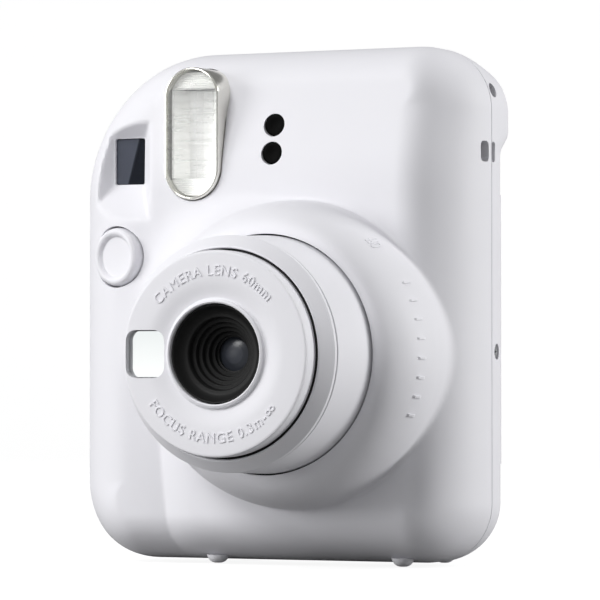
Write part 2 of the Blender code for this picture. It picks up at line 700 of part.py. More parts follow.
def build_flash():
    outer = rounded_rectangle(FLASH_X, FLASH_Z, FLASH_WIDTH, FLASH_HEIGHT, 7.2, 6)
    opening = rounded_rectangle(FLASH_X, FLASH_Z, 12.2, 29.2, 6.0, 6)
    bezel = extruded("flash_bezel", outer, (FLASH_FRONT, 7.4), "champagne_chrome")
    boolean(bezel, extruded("flash_bezel_opening", opening, (-5.0, 12.0)))
    pane = rounded_rectangle(FLASH_X, FLASH_Z, 11.6, 28.6, 5.7, 6)
    extruded("flash_window", pane, (FLASH_FRONT - 0.2, 0.4), "clear_plastic")
    trough = [
        (-5.4, 0.8), (-4.8, 0.8), (-2.2, 5.9), (2.2, 5.9), (4.8, 0.8), (5.4, 0.8), (2.7, 6.5), (-2.7, 6.5)]
    upright("flash_reflector", [(FLASH_X + x, depth) for x, depth in trough], (92.0, 113.0), "aluminium")
    upright("flash_tube", circle(FLASH_X, 3.6, 1.2, 14), (91.0, 114.0), "clear_plastic")
    across("flash_capacitor", circle(8.8, 88.6, 4.4, 20), (-4.0, 23.0), "aluminium")


def build_sensor_cover():
    """The dark pane behind both sensor holes, parallel to the leaning front."""
    low, high = 94.0, 107.5
    outline = [
        (lean(low) + 2.9, low), (lean(low) + 4.1, low), (lean(high) + 4.1, high), (lean(high) + 2.9, high)]
    across("sensor_cover", outline, (SENSOR_X - 4.0, SENSOR_X + 4.0), "smoked_glass")


def build_finder():
    pane = rounded_rectangle(FINDER_X, FINDER_Z, 8.2, 11.2, 0.5, 2)
    extruded("finder_front_window", pane, (FINDER_DEPTH + 0.3, FINDER_DEPTH + 1.3), "smoked_glass")
    front = rounded_rectangle(FINDER_X, FINDER_Z, 8.8, 11.8, 0.8, 2)
    rear = rounded_rectangle(EYEPIECE_X, EYEPIECE_Z, 7.6, 7.4, 0.8, 2)
    front_depth, rear_depth = FINDER_DEPTH + 1.7, 38.6
    ends = [[(x, front_depth, z) for x, z in front], [(x, rear_depth, z) for x, z in rear]]
    tunnel = loft("finder_tunnel", ends, "black_plastic")
    inner_front = rounded_rectangle(FINDER_X, FINDER_Z, 7.0, 10.0, 0.5, 2)
    inner_rear = rounded_rectangle(EYEPIECE_X, EYEPIECE_Z, 5.8, 5.6, 0.5, 2)
    bore_ends = [
        [(x, front_depth - 1, z) for x, z in inner_front], [(x, rear_depth + 1, z) for x, z in inner_rear]]
    boolean(tunnel, loft("finder_tunnel_bore", bore_ends))
    eyepiece = rounded_rectangle(EYEPIECE_X, EYEPIECE_Z, 8.0, 7.6, 1.3, 3)
    extruded("finder_eyepiece", eyepiece, (39.0, 43.0), "smoked_glass")


# ---------------------------------------------------------------- inside

def build_power():
    for side, depth in BATTERY_DEPTHS.items():
        upright(f"battery_{side}", circle(BATTERY_X, depth, BATTERY_RADIUS, 20),
                (BATTERY_BOTTOM, BATTERY_BOTTOM + BATTERY_LENGTH), "battery_sleeve")
        coil(f"battery_spring_{side}", (BATTERY_X, depth, 9.6), (0, 0, 1), 3.4, 0.3, 2.5, 2, "spring_steel")
    box("battery_contact_top", (BATTERY_X - 6.0, BATTERY_X + 6.0), (9.5, 34.0), (63.1, 63.7), "steel")
    box("main_board", (-19.0, 33.0), (10.6, 12.1), (5.4, 17.0), "green_board")


def build_film_chamber():
    c = CHAMBER
    chamber = box(
        "film_chamber", (c["left"], c["right"]), (c["front"], c["rear"]), (c["bottom"], c["top"]),
        "black_plastic")
    boolean(chamber, box(
        "chamber_inside", (c["left"] + CHAMBER_WALL, c["right"] - CHAMBER_WALL),
        (c["front"] + CHAMBER_WALL, 80.0), (c["bottom"] + CHAMBER_WALL, c["top"] - CHAMBER_WALL)))
    half_width, half_height = PICTURE_WIDTH / 2, PICTURE_HEIGHT / 2
    boolean(chamber, box(
        "picture_gate", (LENS_X - half_width, LENS_X + half_width), (0.0, 20.0),
        (LENS_Z - half_height, LENS_Z + half_height)))
    boolean(chamber, box(
        "picture_slot", (LENS_X - PRINT_WIDTH / 2, LENS_X + PRINT_WIDTH / 2), (25.0, 28.0), (90.0, 120.0)))
    inset = CHAMBER_WALL + PACK_CLEARANCE
    pack_front = c["front"] + inset
    box("film_pack", (c["left"] + inset, c["right"] - inset), (pack_front, pack_front + PACK_THICKNESS),
        (c["bottom"] + inset, c["top"] - inset), "black_plastic")


def gear_outline(teeth, first_tooth):
    """(depth, z) points of a gear with thin trapezoid teeth, the first one at the given angle."""
    pitch_radius = teeth * GEAR_MODULE / 2
    tip = pitch_radius + 0.8 * GEAR_MODULE
    root = pitch_radius - 1.2 * GEAR_MODULE
    pitch = 2 * math.pi / teeth
    points = []
    for tooth in range(teeth):
        middle = first_tooth + tooth * pitch
        for radius, offset in ((root, -0.27), (tip, -0.12), (tip, 0.12), (root, 0.27)):
            angle = middle + offset * pitch
            points.append((radius * math.cos(angle), radius * math.sin(angle)))
    return points


def meshing_angle(first_angle, first_teeth, direction, teeth):
    """First tooth angle for a gear so that its gap faces a tooth of the gear before it."""
    share = (direction - first_angle) / (2 * math.pi / first_teeth)
    return direction + math.pi - (0.5 - share) * 2 * math.pi / teeth


def distance_for(first_teeth, second_teeth):
    return (first_teeth + second_teeth) * GEAR_MODULE / 2 + MESH_SLACK


def circle_meeting(first, first_reach, second, second_reach):
    """The place (on the rear side) that lies the given distances from two places."""
    span = math.dist(first, second)
    along = (first_reach ** 2 - second_reach ** 2 + span ** 2) / (2 * span)
    off = math.sqrt(first_reach ** 2 - along ** 2)
    unit = [(b - a) / span for a, b in zip(first, second)]
    return (first[0] + unit[0] * along + unit[1] * off, first[1] + unit[1] * along - unit[0] * off)


def build_gear(name, teeth, centre, first_tooth, bore):
    outline = [(centre[0] + depth, centre[1] + z) for depth, z in gear_outline(teeth, first_tooth)]
    gear = across(name, outline, (GEAR_LEFT, GEAR_LEFT + GEAR_WIDTH), "gear_nylon",
                  origin=(GEAR_LEFT, centre[0], centre[1]))
    return boolean(gear, across(name + "_bore", circle(*centre, bore, 12), (-60.0, 0.0)))


def build_drive():
    """Motor, gear train and the two rollers that spread the developer and push the print out."""
    motor = (MOTOR_DEPTH, MOTOR_Z)
    drive = (DRIVE_ROLLER_DEPTH, ROLLER_Z)
    pressure = (DRIVE_ROLLER_DEPTH + ROLLER_SPACING, ROLLER_Z)
    pinion_teeth, large_teeth, small_teeth, roller_teeth = 10, 20, 14, 14
    large = (motor[0] - 3.2, motor[1] + math.sqrt(distance_for(pinion_teeth, large_teeth) ** 2 - 3.2 ** 2))
    small = circle_meeting(
        large, distance_for(large_teeth, small_teeth), drive, distance_for(small_teeth, roller_teeth))
    train = [("motor_pinion", pinion_teeth, motor), ("idler_gear_large", large_teeth, large),
             ("idler_gear_small", small_teeth, small), ("drive_roller_gear", roller_teeth, drive),
             ("pressure_roller_gear", roller_teeth, pressure)]
    angle, before = 0.0, None
    for name, teeth, centre in train:
        if before:
            direction = math.atan2(centre[1] - before[2][1], centre[0] - before[2][0])
            angle = meshing_angle(angle, before[1], direction, teeth)
        build_gear(name, teeth, centre, angle, SHAFT_RADIUS + GAP)
        before = (name, teeth, centre)
    body = across("drive_motor", circle(*motor, 5.2, 20), (-46.0, GEAR_LEFT - 0.4), "steel")
    join(body, across("motor_shaft", circle(*motor, SHAFT_RADIUS, 12), (-40.0, GEAR_LEFT + GEAR_WIDTH + 0.2)))
    for name, centre in (("drive_roller", drive), ("pressure_roller", pressure)):
        roller = across(name, circle(*centre, ROLLER_RADIUS, 20), (ROLLER_LEFT, ROLLER_RIGHT),
                        "rubber" if name == "drive_roller" else "steel", origin=(ROLLER_LEFT, *centre))
        shaft = circle(*centre, SHAFT_RADIUS, 12)
        join(roller, across(name + "_shaft", shaft, (GEAR_LEFT - 0.3, ROLLER_RIGHT + 1.8)))
    build_gear_plate((large, small), (drive, pressure))
    box("film_claw", (-22.1, -21.1), (17.0, 21.0), (30.0, 62.0), "steel")
    box("exit_flap", (-16.4, 40.4), (24.9, 28.3), (119.0, 119.8), "black_plastic", origin=(0.0, 25.2, 119.4))


def build_gear_plate(idlers, rollers):
    """The plate beside the gears: posts for the idlers, holes for the roller shafts."""
    right = ROLLER_LEFT - 0.6
    left = GEAR_LEFT + GEAR_WIDTH + 0.3
    plate = box("gear_plate", (left, right), (15.5, 33.8), (102.0, 109.2), "steel")
    join(plate, box("gear_plate_leg", (left, left + 1.2), (16.0, 27.0), (82.0, 103.0)))
    boolean(plate, box("gear_plate_relief", (left + 1.2, 0.0), (10.0, 40.0), (90.0, 120.0)))
    for index, centre in enumerate(idlers):
        post = circle(*centre, SHAFT_RADIUS, 12)
        join(plate, across(f"idler_post_{index}", post, (GEAR_LEFT - 0.2, left + 0.5)))
    for index, centre in enumerate(rollers):
        hole = circle(*centre, SHAFT_RADIUS + GAP, 12)
        boolean(plate, across(f"roller_bearing_{index}", hole, (-60.0, 0.0)))


def build_back_pieces():
    extruded("counter_dial", circle(DIAL_X, DIAL_Z, 8.0, 32), (34.6, 35.8), "white_plastic",
             origin=(DIAL_X, 34.6, DIAL_Z))
    window = rounded_rectangle(DIAL_X, DIAL_Z + COUNTER_WINDOW_RISE, 8.0, 4.0, 0.8, 2)
    extruded("counter_window", window, (37.3, 38.5), "clear_plastic")
    latch = box("door_latch", (-33.2, -29.4), (37.0, 40.2), (37.6, 49.0), "white_plastic")
    for rib in range(4):
        height = 39.4 + rib * 2.4
        boolean(latch, box(f"latch_rib_gap_{rib}", (-40.0, -20.0), (39.6, 45.0), (height, height + 1.0)))


def build_screws():
    across("side_screw", circle(26.0, 50.6, 1.55, 14), (47.8, 51.2), "steel")
    across("upper_side_screw", circle(24.9, 112.3, 1.35, 14), (44.5, 47.5), "steel")
    for side, x in (("left", -16.0), ("right", 38.0)):
        upright(f"bottom_screw_{side}", circle(x, 27.0, 1.55, 14), (1.3, 4.6), "steel")


def main():
    clear_scene()
    build_front_cover()
    build_rear_cover()
    build_film_door()
    build_battery_door()
    build_lens()
    build_shutter_button()
    build_flash()
    build_sensor_cover()
    build_finder()
    build_power()
    build_film_chamber()
    build_drive()
    build_back_pieces()
    build_screws()


main()
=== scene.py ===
"""How the instant camera looks: fine meshes, materials, lights and the camera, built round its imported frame.

Lengths are in millimetres until a mesh is made. "depth" is the distance behind the flat front of the body, so
the lens, which stands in front of it, has negative depths. X and Z are the frame's own.
"""

import json
import math

import bmesh
import bpy
import numpy as np
import openvdb
from mathutils import Matrix, Vector


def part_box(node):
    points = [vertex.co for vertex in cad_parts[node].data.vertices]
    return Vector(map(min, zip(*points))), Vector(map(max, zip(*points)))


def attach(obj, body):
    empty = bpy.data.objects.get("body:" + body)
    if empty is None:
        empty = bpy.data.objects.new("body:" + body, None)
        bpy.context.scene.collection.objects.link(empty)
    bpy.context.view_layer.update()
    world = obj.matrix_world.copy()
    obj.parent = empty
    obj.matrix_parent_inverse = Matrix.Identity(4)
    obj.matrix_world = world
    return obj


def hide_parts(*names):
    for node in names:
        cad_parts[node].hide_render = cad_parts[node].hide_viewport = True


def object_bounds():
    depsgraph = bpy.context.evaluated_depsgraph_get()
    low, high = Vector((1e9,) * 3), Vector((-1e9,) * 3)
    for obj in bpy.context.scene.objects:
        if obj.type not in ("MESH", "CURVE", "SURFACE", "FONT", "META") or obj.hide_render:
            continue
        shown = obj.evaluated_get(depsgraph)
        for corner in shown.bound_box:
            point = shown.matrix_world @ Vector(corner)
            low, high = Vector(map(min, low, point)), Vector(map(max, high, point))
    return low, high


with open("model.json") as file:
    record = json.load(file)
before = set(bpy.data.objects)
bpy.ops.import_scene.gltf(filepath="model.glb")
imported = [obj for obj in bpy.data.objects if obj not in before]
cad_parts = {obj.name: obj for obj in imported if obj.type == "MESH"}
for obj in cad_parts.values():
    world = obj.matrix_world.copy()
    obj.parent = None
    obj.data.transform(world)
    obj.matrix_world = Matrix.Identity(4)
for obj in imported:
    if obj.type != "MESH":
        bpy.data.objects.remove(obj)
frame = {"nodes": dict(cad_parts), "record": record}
CAD_LOW, CAD_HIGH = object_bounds()
NODES = frame["nodes"]
MM = 0.001


def middle(node):
    """The middle of a CAD node's box, in millimetres."""
    low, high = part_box(node)
    return (low + high) / 2 / MM


# ---------------------------------------------------------------- sizes

# Read from the frame
PLATE_REACH = 42.0
FRONT_Y = CAD_LOW.y / MM + PLATE_REACH
HALF_WIDTH = (CAD_HIGH.x - CAD_LOW.x) / 2 / MM
TOP = CAD_HIGH.z / MM - 0.5
LENS_X, _, LENS_Z = middle("twist_ring")
RING_RADIUS = (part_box("twist_ring")[1].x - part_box("twist_ring")[0].x) / 2 / MM
FLASH_X, _, FLASH_Z = middle("flash_bezel")
FINDER_X, _, FINDER_Z = middle("finder_front_window")
EYEPIECE_X, _, EYEPIECE_Z = middle("finder_eyepiece")
SENSOR_X, _, SENSOR_Z = middle("sensor_cover")
MIRROR_X, _, MIRROR_Z = middle("selfie_mirror")
LATCH_X, _, LATCH_Z = middle("door_latch")
PACK_X, _, PACK_Z = middle("film_pack")
CELL_X = middle("battery_front").x
DIAL_X, _, DIAL_Z = middle("counter_dial")

# Body
BOTTOM = 1.0
MIDDLE_Z = (TOP + BOTTOM) / 2
SEAM = 22.5
SEAM_GAP = 0.3
WALL = 2.0
CORNERS = {(1, 1): 15.0, (-1, 1): 34.5, (-1, -1): 19.0, (1, -1): 14.0}
FRONT_ROUND_RIGHT = 15.0
FRONT_ROUND_LEFT = 19.0
FRONT_ROUND_TOP = 9.0
FRONT_ROUND_BOTTOM = 11.0
FRONT_REACH_LEFT = 20.5
FRONT_REACH_ENDS = 17.0
REAR_ROUND = 11.0
BODY_DEPTH = 39.0
HUMP = 5.0
LEAN_START = 93.0
LEAN_BLEND = 5.0
LEAN_SLOPE = math.tan(math.radians(12.0))

# Swelling round the lens
DOME_RADIUS = 36.25
DOME_LIP = 17.3
BORE_RADIUS = 27.9

# Doors and openings
DOOR = (-25.0, 48.4, 6.2, 93.4)
DOOR_FRONT = 31.9
HINGE = (48.6, 33.2)
KNUCKLE = (24.0, 88.0)
BATTERY_DOOR = (12.0, 64.0, 24.3, 33.6)
BATTERY_HINGE = (-50.7, 24.9)
BATTERY_KNUCKLE = (22.0, 60.0)
SWING_GAP = 0.9
GAP = 0.3
BUTTON_CENTRE = (-36.8, 0.7, 73.5)
BUTTON_TILT = math.radians(16.0)
SENSOR_SPACING = 6.7
SENSOR_RADIUS = 2.75
FINDER_DEPTH = 7.5
SLOT_HEIGHT = 97.6
FEET = {"left": -13.8, "right": 35.0}

FINE = 0.6
COARSE = 1.6
AROUND = 192


# ---------------------------------------------------------------- mesh helpers

def place(x, depth, z):
    return Vector((x * MM, (FRONT_Y + depth) * MM, z * MM))


def link(name, mesh):
    obj = bpy.data.objects.new(name, mesh)
    bpy.context.scene.collection.objects.link(obj)
    return obj


def from_bmesh(name, work):
    bmesh.ops.remove_doubles(work, verts=work.verts, dist=1e-7)
    bmesh.ops.recalc_face_normals(work, faces=work.faces)
    mesh = bpy.data.meshes.new(name)
    work.to_mesh(mesh)
    work.free()
    return link(name, mesh)


def apply_modifiers(obj):
    """Replaces an object's mesh by its evaluated one."""
    graph = bpy.context.evaluated_depsgraph_get()
    mesh = bpy.data.meshes.new_from_object(obj.evaluated_get(graph), depsgraph=graph)
    obj.modifiers.clear()
    obj.data = mesh
    return obj


def boolean(obj, cutters, operation="DIFFERENCE"):
    """Cuts with, joins, or keeps what lies inside each of the other objects, and then removes them."""
    for index, cutter in enumerate(cutters):
        modifier = obj.modifiers.new(f"boolean {index}", "BOOLEAN")
        modifier.operation = operation
        modifier.solver = "MANIFOLD"
        modifier.object = cutter
    apply_modifiers(obj)
    for cutter in cutters:
        bpy.data.objects.remove(cutter, do_unlink=True)
    return obj


def bevel(obj, width, segments=3, angle=35.0):
    modifier = obj.modifiers.new("edges", "BEVEL")
    modifier.width = width * MM
    modifier.segments = segments
    modifier.limit_method = "ANGLE"
    modifier.angle_limit = math.radians(angle)
    return apply_modifiers(obj)


def smooth(obj, angle=35.0):
    """Smooth shading between sharp edges. The larger faces decide the normals, so that flats stay flat."""
    obj.data.shade_smooth()
    obj.data.set_sharp_from_angle(angle=math.radians(angle))
    modifier = obj.modifiers.new("normals", "WEIGHTED_NORMAL")
    modifier.keep_sharp = True
    modifier.weight = 50
    return apply_modifiers(obj)


def loft(name, rings):
    """Skins closed rings of world points and caps both ends."""
    work = bmesh.new()
    loops = [[work.verts.new(spot) for spot in ring] for ring in rings]
    for lower, upper in zip(loops, loops[1:]):
        for index in range(len(lower)):
            after = (index + 1) % len(lower)
            work.faces.new((lower[index], lower[after], upper[after], upper[index]))
    work.faces.new(loops[0][::-1])
    work.faces.new(loops[-1])
    return from_bmesh(name, work)


def extruded(name, outline, depths):
    """A prism along the depth from (x, z) points."""
    return loft(name, [[place(x, depth, z) for x, z in outline] for depth in depths])


def upright(name, outline, heights):
    """A prism along Z from (x, depth) points."""
    return loft(name, [[place(x, depth, z) for x, depth in outline] for z in heights])


def across(name, outline, sides):
    """A prism along X from (depth, z) points."""
    return loft(name, [[place(x, depth, z) for depth, z in outline] for x in sides])


def block(name, x_range, depth_range, z_range):
    low_x, high_x = x_range
    low_z, high_z = z_range
    return extruded(name, [(low_x, low_z), (high_x, low_z), (high_x, high_z), (low_x, high_z)], depth_range)


def circle(centre_a, centre_b, radius, steps=48):
    turns = [2 * math.pi * step / steps for step in range(steps)]
    return [(centre_a + radius * math.cos(turn), centre_b + radius * math.sin(turn)) for turn in turns]


def rounded(centre_a, centre_b, width, height, radius, steps=10):
    """Points of a rectangle with round corners."""
    points = []
    for corner in range(4):
        sign_a = 1 if corner in (0, 3) else -1
        sign_b = 1 if corner in (0, 1) else -1
        corner_a = centre_a + sign_a * (width / 2 - radius)
        corner_b = centre_b + sign_b * (height / 2 - radius)
        for step in range(steps + 1):
            angle = math.radians(90 * corner + 90 * step / steps)
            points.append((corner_a + radius * math.cos(angle), corner_b + radius * math.sin(angle)))
    return points


def filleted(profile, radius, steps=4):
    """Rounds each corner of a closed profile, except on the axis and where the corner is nearly straight."""
    points = [Vector(spot) for spot in profile]
    result = []
    for index, here in enumerate(points):
        before, after = points[index - 1], points[(index + 1) % len(points)]
        back, on = before - here, after - here
        turn = math.pi - back.angle(on, math.pi)
        if here.x < 1e-6 or turn < math.radians(12):
            result.append(tuple(here))
            continue
        reach = min(radius * math.tan(turn / 2), 0.45 * back.length, 0.45 * on.length)
        start, end = here + back.normalized() * reach, here + on.normalized() * reach
        for step in range(steps + 1):
            share = step / steps
            spot = start * (1 - share) ** 2 + here * 2 * share * (1 - share) + end * share ** 2
            result.append(tuple(spot))
    return result


def turned(name, profile, fillet=0.0, centre=None, steps=None):
    """Spins a closed (radius, depth) profile about an axis that runs along the depth."""
    centre_x, centre_z = centre or (LENS_X, LENS_Z)
    steps = steps or AROUND
    if fillet:
        profile = filleted(profile, fillet)
    work = bmesh.new()
    verts = [work.verts.new(place(centre_x + radius, depth, centre_z)) for radius, depth in profile]
    edges = []
    for index, vert in enumerate(verts):
        following = (index + 1) % len(verts)
        if profile[index][0] > 1e-6 or profile[following][0] > 1e-6:
            edges.append(work.edges.new((vert, verts[following])))
    bmesh.ops.spin(
        work, geom=verts + edges, cent=place(centre_x, 0, centre_z), axis=(0, 1, 0),
        angle=2 * math.pi, steps=steps, use_merge=True, use_duplicate=False,
    )
    return from_bmesh(name, work)


def tilted(obj):
    """Moves a piece made round the origin on to the shutter button's tilted axis."""
    turn = Matrix.Rotation(-BUTTON_TILT, 4, "Z")
    obj.data.transform(Matrix.Translation(place(*BUTTON_CENTRE)) @ turn @ Matrix.Translation(-place(0, 0, 0)))
    return obj


def show(obj, body, finish, replaced=()):
    """Gives a piece its material and its body, and hides the CAD nodes it stands for."""
    obj.data.materials.clear()
    obj.data.materials.append(finish)
    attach(obj, body)
    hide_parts(*replaced)
    return obj


# ---------------------------------------------------------------- the body's shape as a distance field

def quarter(across_part, along_part, across_reach, along_reach):
    """Distance to a quarter ellipse with these half-axes, negative inside, also at its very centre."""
    across_part = np.maximum(across_part, 0.0)
    along_part = np.maximum(along_part, 0.01)
    size = np.hypot(across_part / across_reach, along_part / along_reach)
    slope = np.hypot(across_part / across_reach ** 2, along_part / along_reach ** 2)
    return size * (size - 1) / np.maximum(slope, 1e-6)


def soft_least(first, second, reach):
    """The smaller of two distances, with the meeting line filled by a round of about this reach."""
    overlap = np.maximum(reach - np.abs(first - second), 0.0)
    return np.minimum(first, second) - overlap ** 2 / (4 * reach)


def soft_most(first, second, reach):
    return -soft_least(-first, -second, reach)


def ramp(value, start, end):
    share = np.clip((value - start) / (end - start), 0.0, 1.0)
    return share * share * (3 - 2 * share)


def outline_inset(x, z):
    """Distance inside the body's outline, and the square of the sideways part of the outline's normal."""
    to_side = HALF_WIDTH - np.abs(x)
    to_end = np.minimum(TOP - z, z - BOTTOM)
    inset = np.minimum(to_side, to_end)
    sideways = (to_side <= to_end).astype(float)
    for (sign_x, sign_z), radius in CORNERS.items():
        away_x = sign_x * x - (HALF_WIDTH - radius)
        away_z = z - (TOP - radius) if sign_z > 0 else BOTTOM + radius - z
        reach = np.hypot(away_x, away_z)
        corner = (away_x > 0) & (away_z > 0)
        inset = np.where(corner, radius - reach, inset)
        sideways = np.where(corner, (away_x / np.maximum(reach, 1e-6)) ** 2, sideways)
    return inset, sideways


def lean(z):
    """How far the upper front leans back."""
    over = np.clip(z - LEAN_START, -LEAN_BLEND, LEAN_BLEND)
    blended = LEAN_SLOPE * (over + LEAN_BLEND) ** 2 / (4 * LEAN_BLEND)
    return blended + LEAN_SLOPE * np.maximum(z - LEAN_START - LEAN_BLEND, 0.0)


def grip_valley(x, z):
    """How far the front sinks beside the grip: a sharp crease low down, a soft hollow above."""
    line = -22.0 - 3.4 * np.clip(z / 28.0, 0.0, 1.3) ** 0.8
    deep = 1.7 - 0.5 * ramp(z, 30.0, 70.0) - 1.2 * ramp(z, 68.0, 92.0)
    softness = 0.04 + 1.4 * ramp(z, 34.0, 66.0)
    on_grip = np.clip(1 + (x - line) / 15.0, 0.0, None) ** 2
    beside = np.clip(1 - (x - line) / (9.0 + 4.0 * ramp(z, 32.0, 66.0)), 0.0, None) ** 2
    return deep * np.clip(soft_least(on_grip, beside, softness), 0.0, None)


def hump(z):
    """How much of the bar across the upper back stands at this height, from 0 to 1."""
    return ramp(z, 97.3, 103.0) * (1 - ramp(z, 114.5, 121.5))


def body_distance(x, depth, z):
    inset, sideways = outline_inset(x, z)
    round_side = np.where(x > 0, FRONT_ROUND_RIGHT, FRONT_ROUND_LEFT)
    round_end = np.where(z > MIDDLE_Z, FRONT_ROUND_TOP, FRONT_ROUND_BOTTOM)
    round_in = round_side * sideways + round_end * (1 - sideways)
    reach = np.where(x > 0, SEAM, FRONT_REACH_LEFT) * sideways + FRONT_REACH_ENDS * (1 - sideways)
    flat = lean(z) + grip_valley(x, z)
    front = quarter(round_in - inset, reach - depth, round_in, reach - flat)
    bar = hump(z)
    rear_start = SEAM + 4.5 * bar * sideways
    rear = quarter(REAR_ROUND - inset, depth - rear_start, REAR_ROUND, BODY_DEPTH + HUMP * bar - rear_start)
    return np.where(depth < reach, front, np.where(depth < rear_start, -inset, rear))


def dome_distance(x, depth, z):
    radius = np.hypot(x - LENS_X, z - LENS_Z)
    shoulder = quarter(radius - BORE_RADIUS, -depth, DOME_RADIUS - BORE_RADIUS, DOME_LIP)
    return np.maximum(np.where(depth < 0, shoulder, radius - DOME_RADIUS), depth - 16.0)


def dome_blend(x, z):
    """The dome grows softly out of the body at the upper left, and meets it in a crease elsewhere."""
    angle = np.degrees(np.arctan2(z - LENS_Z, x - LENS_X)) % 360
    return 0.9 + 13.0 * ramp(angle, 88.0, 140.0) * (1 - ramp(angle, 178.0, 222.0))


def funnel_planes():
    """The four walls of the viewfinder's funnel, each as a point and an outward normal."""
    window = [(-40.5, 7.2, 102.2), (-32.3, 7.2, 102.2), (-32.7, 7.2, 91.0), (-40.7, 7.2, 91.0)]
    mouth = [(-41.3, 3.6, 105.2), (-28.2, 3.0, 105.6), (-29.0, 0.9, 84.9), (-44.4, 4.6, 86.1)]
    planes = []
    for index in range(4):
        after = (index + 1) % 4
        first, second = np.array(window[index]), np.array(window[after])
        outer = (np.array(mouth[index]) + np.array(mouth[after])) / 2
        normal = np.cross(second - first, outer - first)
        normal /= np.linalg.norm(normal)
        inside = np.mean(window, axis=0)
        planes.append((first, normal * np.sign((first - inside) @ normal)))
    return planes


FUNNEL = funnel_planes()


def funnel_distance(x, depth, z):
    level = depth - (FINDER_DEPTH - 0.3)
    for spot, normal in FUNNEL:
        wall = (x - spot[0]) * normal[0] + (depth - spot[1]) * normal[1] + (z - spot[2]) * normal[2]
        level = soft_most(level, wall, 0.6)
    return level


def skin(x, depth, z):
    """The whole outer surface of the two covers: negative inside."""
    level = soft_least(body_distance(x, depth, z), dome_distance(x, depth, z), dome_blend(x, z))
    return soft_most(level, -funnel_distance(x, depth, z), 0.8)


def slope_of(field, spots, step=0.05):
    """The field's gradient at some points."""
    parts = []
    for axis in range(3):
        offset = np.zeros(3)
        offset[axis] = step
        ahead, behind = spots + offset, spots - offset
        parts.append((field(*ahead.T) - field(*behind.T)) / (2 * step))
    return np.stack(parts, axis=1)


def field_mesh(name, field, low, high, size, settle=4):
    """Meshes where a field is negative, and then moves the points exactly on to its surface."""
    counts = [int((b - a) / size) + 2 for a, b in zip(low, high)]
    axes = [a + size * np.arange(count) for a, count in zip(low, counts)]
    levels = np.empty(counts, np.float32)
    depth, z = np.meshgrid(axes[1], axes[2], indexing="ij")
    for index, x in enumerate(axes[0]):
        levels[index] = field(np.full_like(depth, x), depth, z)
    grid = openvdb.FloatGrid(10.0)
    grid.copyFromArray(levels)
    spots, quads = grid.convertToQuads(0.0)
    spots = np.array(spots, float) * size + np.array(low)
    for _ in range(settle):
        slope = slope_of(field, spots)
        square = np.maximum((slope ** 2).sum(axis=1), 0.05)
        move = -(field(*spots.T) / square)[:, None] * slope
        spots += np.clip(move, -0.4 * size, 0.4 * size)
    spots[:, 1] += FRONT_Y
    mesh = bpy.data.meshes.new(name)
    mesh.from_pydata((spots * MM).tolist(), [], np.array(quads)[:, ::-1].tolist())
    mesh.update()
    obj = link(name, mesh)
    work = bmesh.new()
    work.from_mesh(mesh)
    if work.calc_volume(signed=True) < 0:
        bmesh.ops.reverse_faces(work, faces=work.faces)
    bmesh.ops.triangulate(work, faces=work.faces)
    work.to_mesh(mesh)
    work.free()
    return obj


# ---------------------------------------------------------------- materials

class Graph:
    """A short way to build a material's nodes."""

    def __init__(self, name):
        self.material = bpy.data.materials.new(name)
        self.material.use_nodes = True
        self.nodes = self.material.node_tree.nodes
        self.links = self.material.node_tree.links
        self.shader = self.nodes["Principled BSDF"]

    def add(self, kind, inputs=None, **settings):
        node = self.nodes.new(kind)
        for key, value in settings.items():
            setattr(node, key, value)
        for key, value in (inputs or {}).items():
            self.feed(value, node.inputs[key])
        return node

    def feed(self, value, socket):
        if isinstance(value, bpy.types.NodeSocket):
            self.links.new(value, socket)
        else:
            socket.default_value = value

    def set(self, **values):
        for key, value in values.items():
            self.feed(value, self.shader.inputs[key.replace("_", " ")])
        return self

    def spot(self):
        """The object's own coordinates, in metres."""
        return self.add("ShaderNodeTexCoord").outputs["Object"]

    def axes(self):
        """The same coordinates as X, Y and Z."""
        return self.add("ShaderNodeSeparateXYZ", {"Vector": self.spot()}).outputs

    def sums(self, operation, first, second):
        return self.add("ShaderNodeMath", {0: first, 1: second}, operation=operation).outputs[0]

    def noise(self, scale, detail=3.0, stretch=(1, 1, 1)):
        """Noise on the object's own coordinates, with features of about 1 / scale metres."""
        mapped = self.add("ShaderNodeMapping", {"Vector": self.spot(), "Scale": stretch}).outputs["Vector"]
        inputs = {"Vector": mapped, "Scale": scale, "Detail": detail}
        return self.add("ShaderNodeTexNoise", inputs).outputs["Fac"]

    def between(self, factor, low, high):
        """Maps 0..1 to a range."""
        inputs = {"Value": factor, "To Min": low, "To Max": high}
        return self.add("ShaderNodeMapRange", inputs).outputs["Result"]

    def share(self, value, start, end, **settings):
        """Maps a range to 0..1."""
        inputs = {"Value": value, "From Min": start, "From Max": end}
        return self.add("ShaderNodeMapRange", inputs, **settings).outputs["Result"]

    def mix(self, factor, first, second):
        node = self.add("ShaderNodeMix", data_type="RGBA")
        for value, socket in ((factor, node.inputs[0]), (first, node.inputs[6]), (second, node.inputs[7])):
            self.feed(value, socket)
        return node.outputs[2]

    def bump(self, height, strength, distance, normal=None):
        inputs = {"Height": height, "Strength": strength, "Distance": distance}
        if normal is not None:
            inputs["Normal"] = normal
        return self.add("ShaderNodeBump", inputs).outputs["Normal"]


def grey(level, tint=(1.0, 1.0, 1.0)):
    return (level * tint[0], level * tint[1], level * tint[2], 1.0)


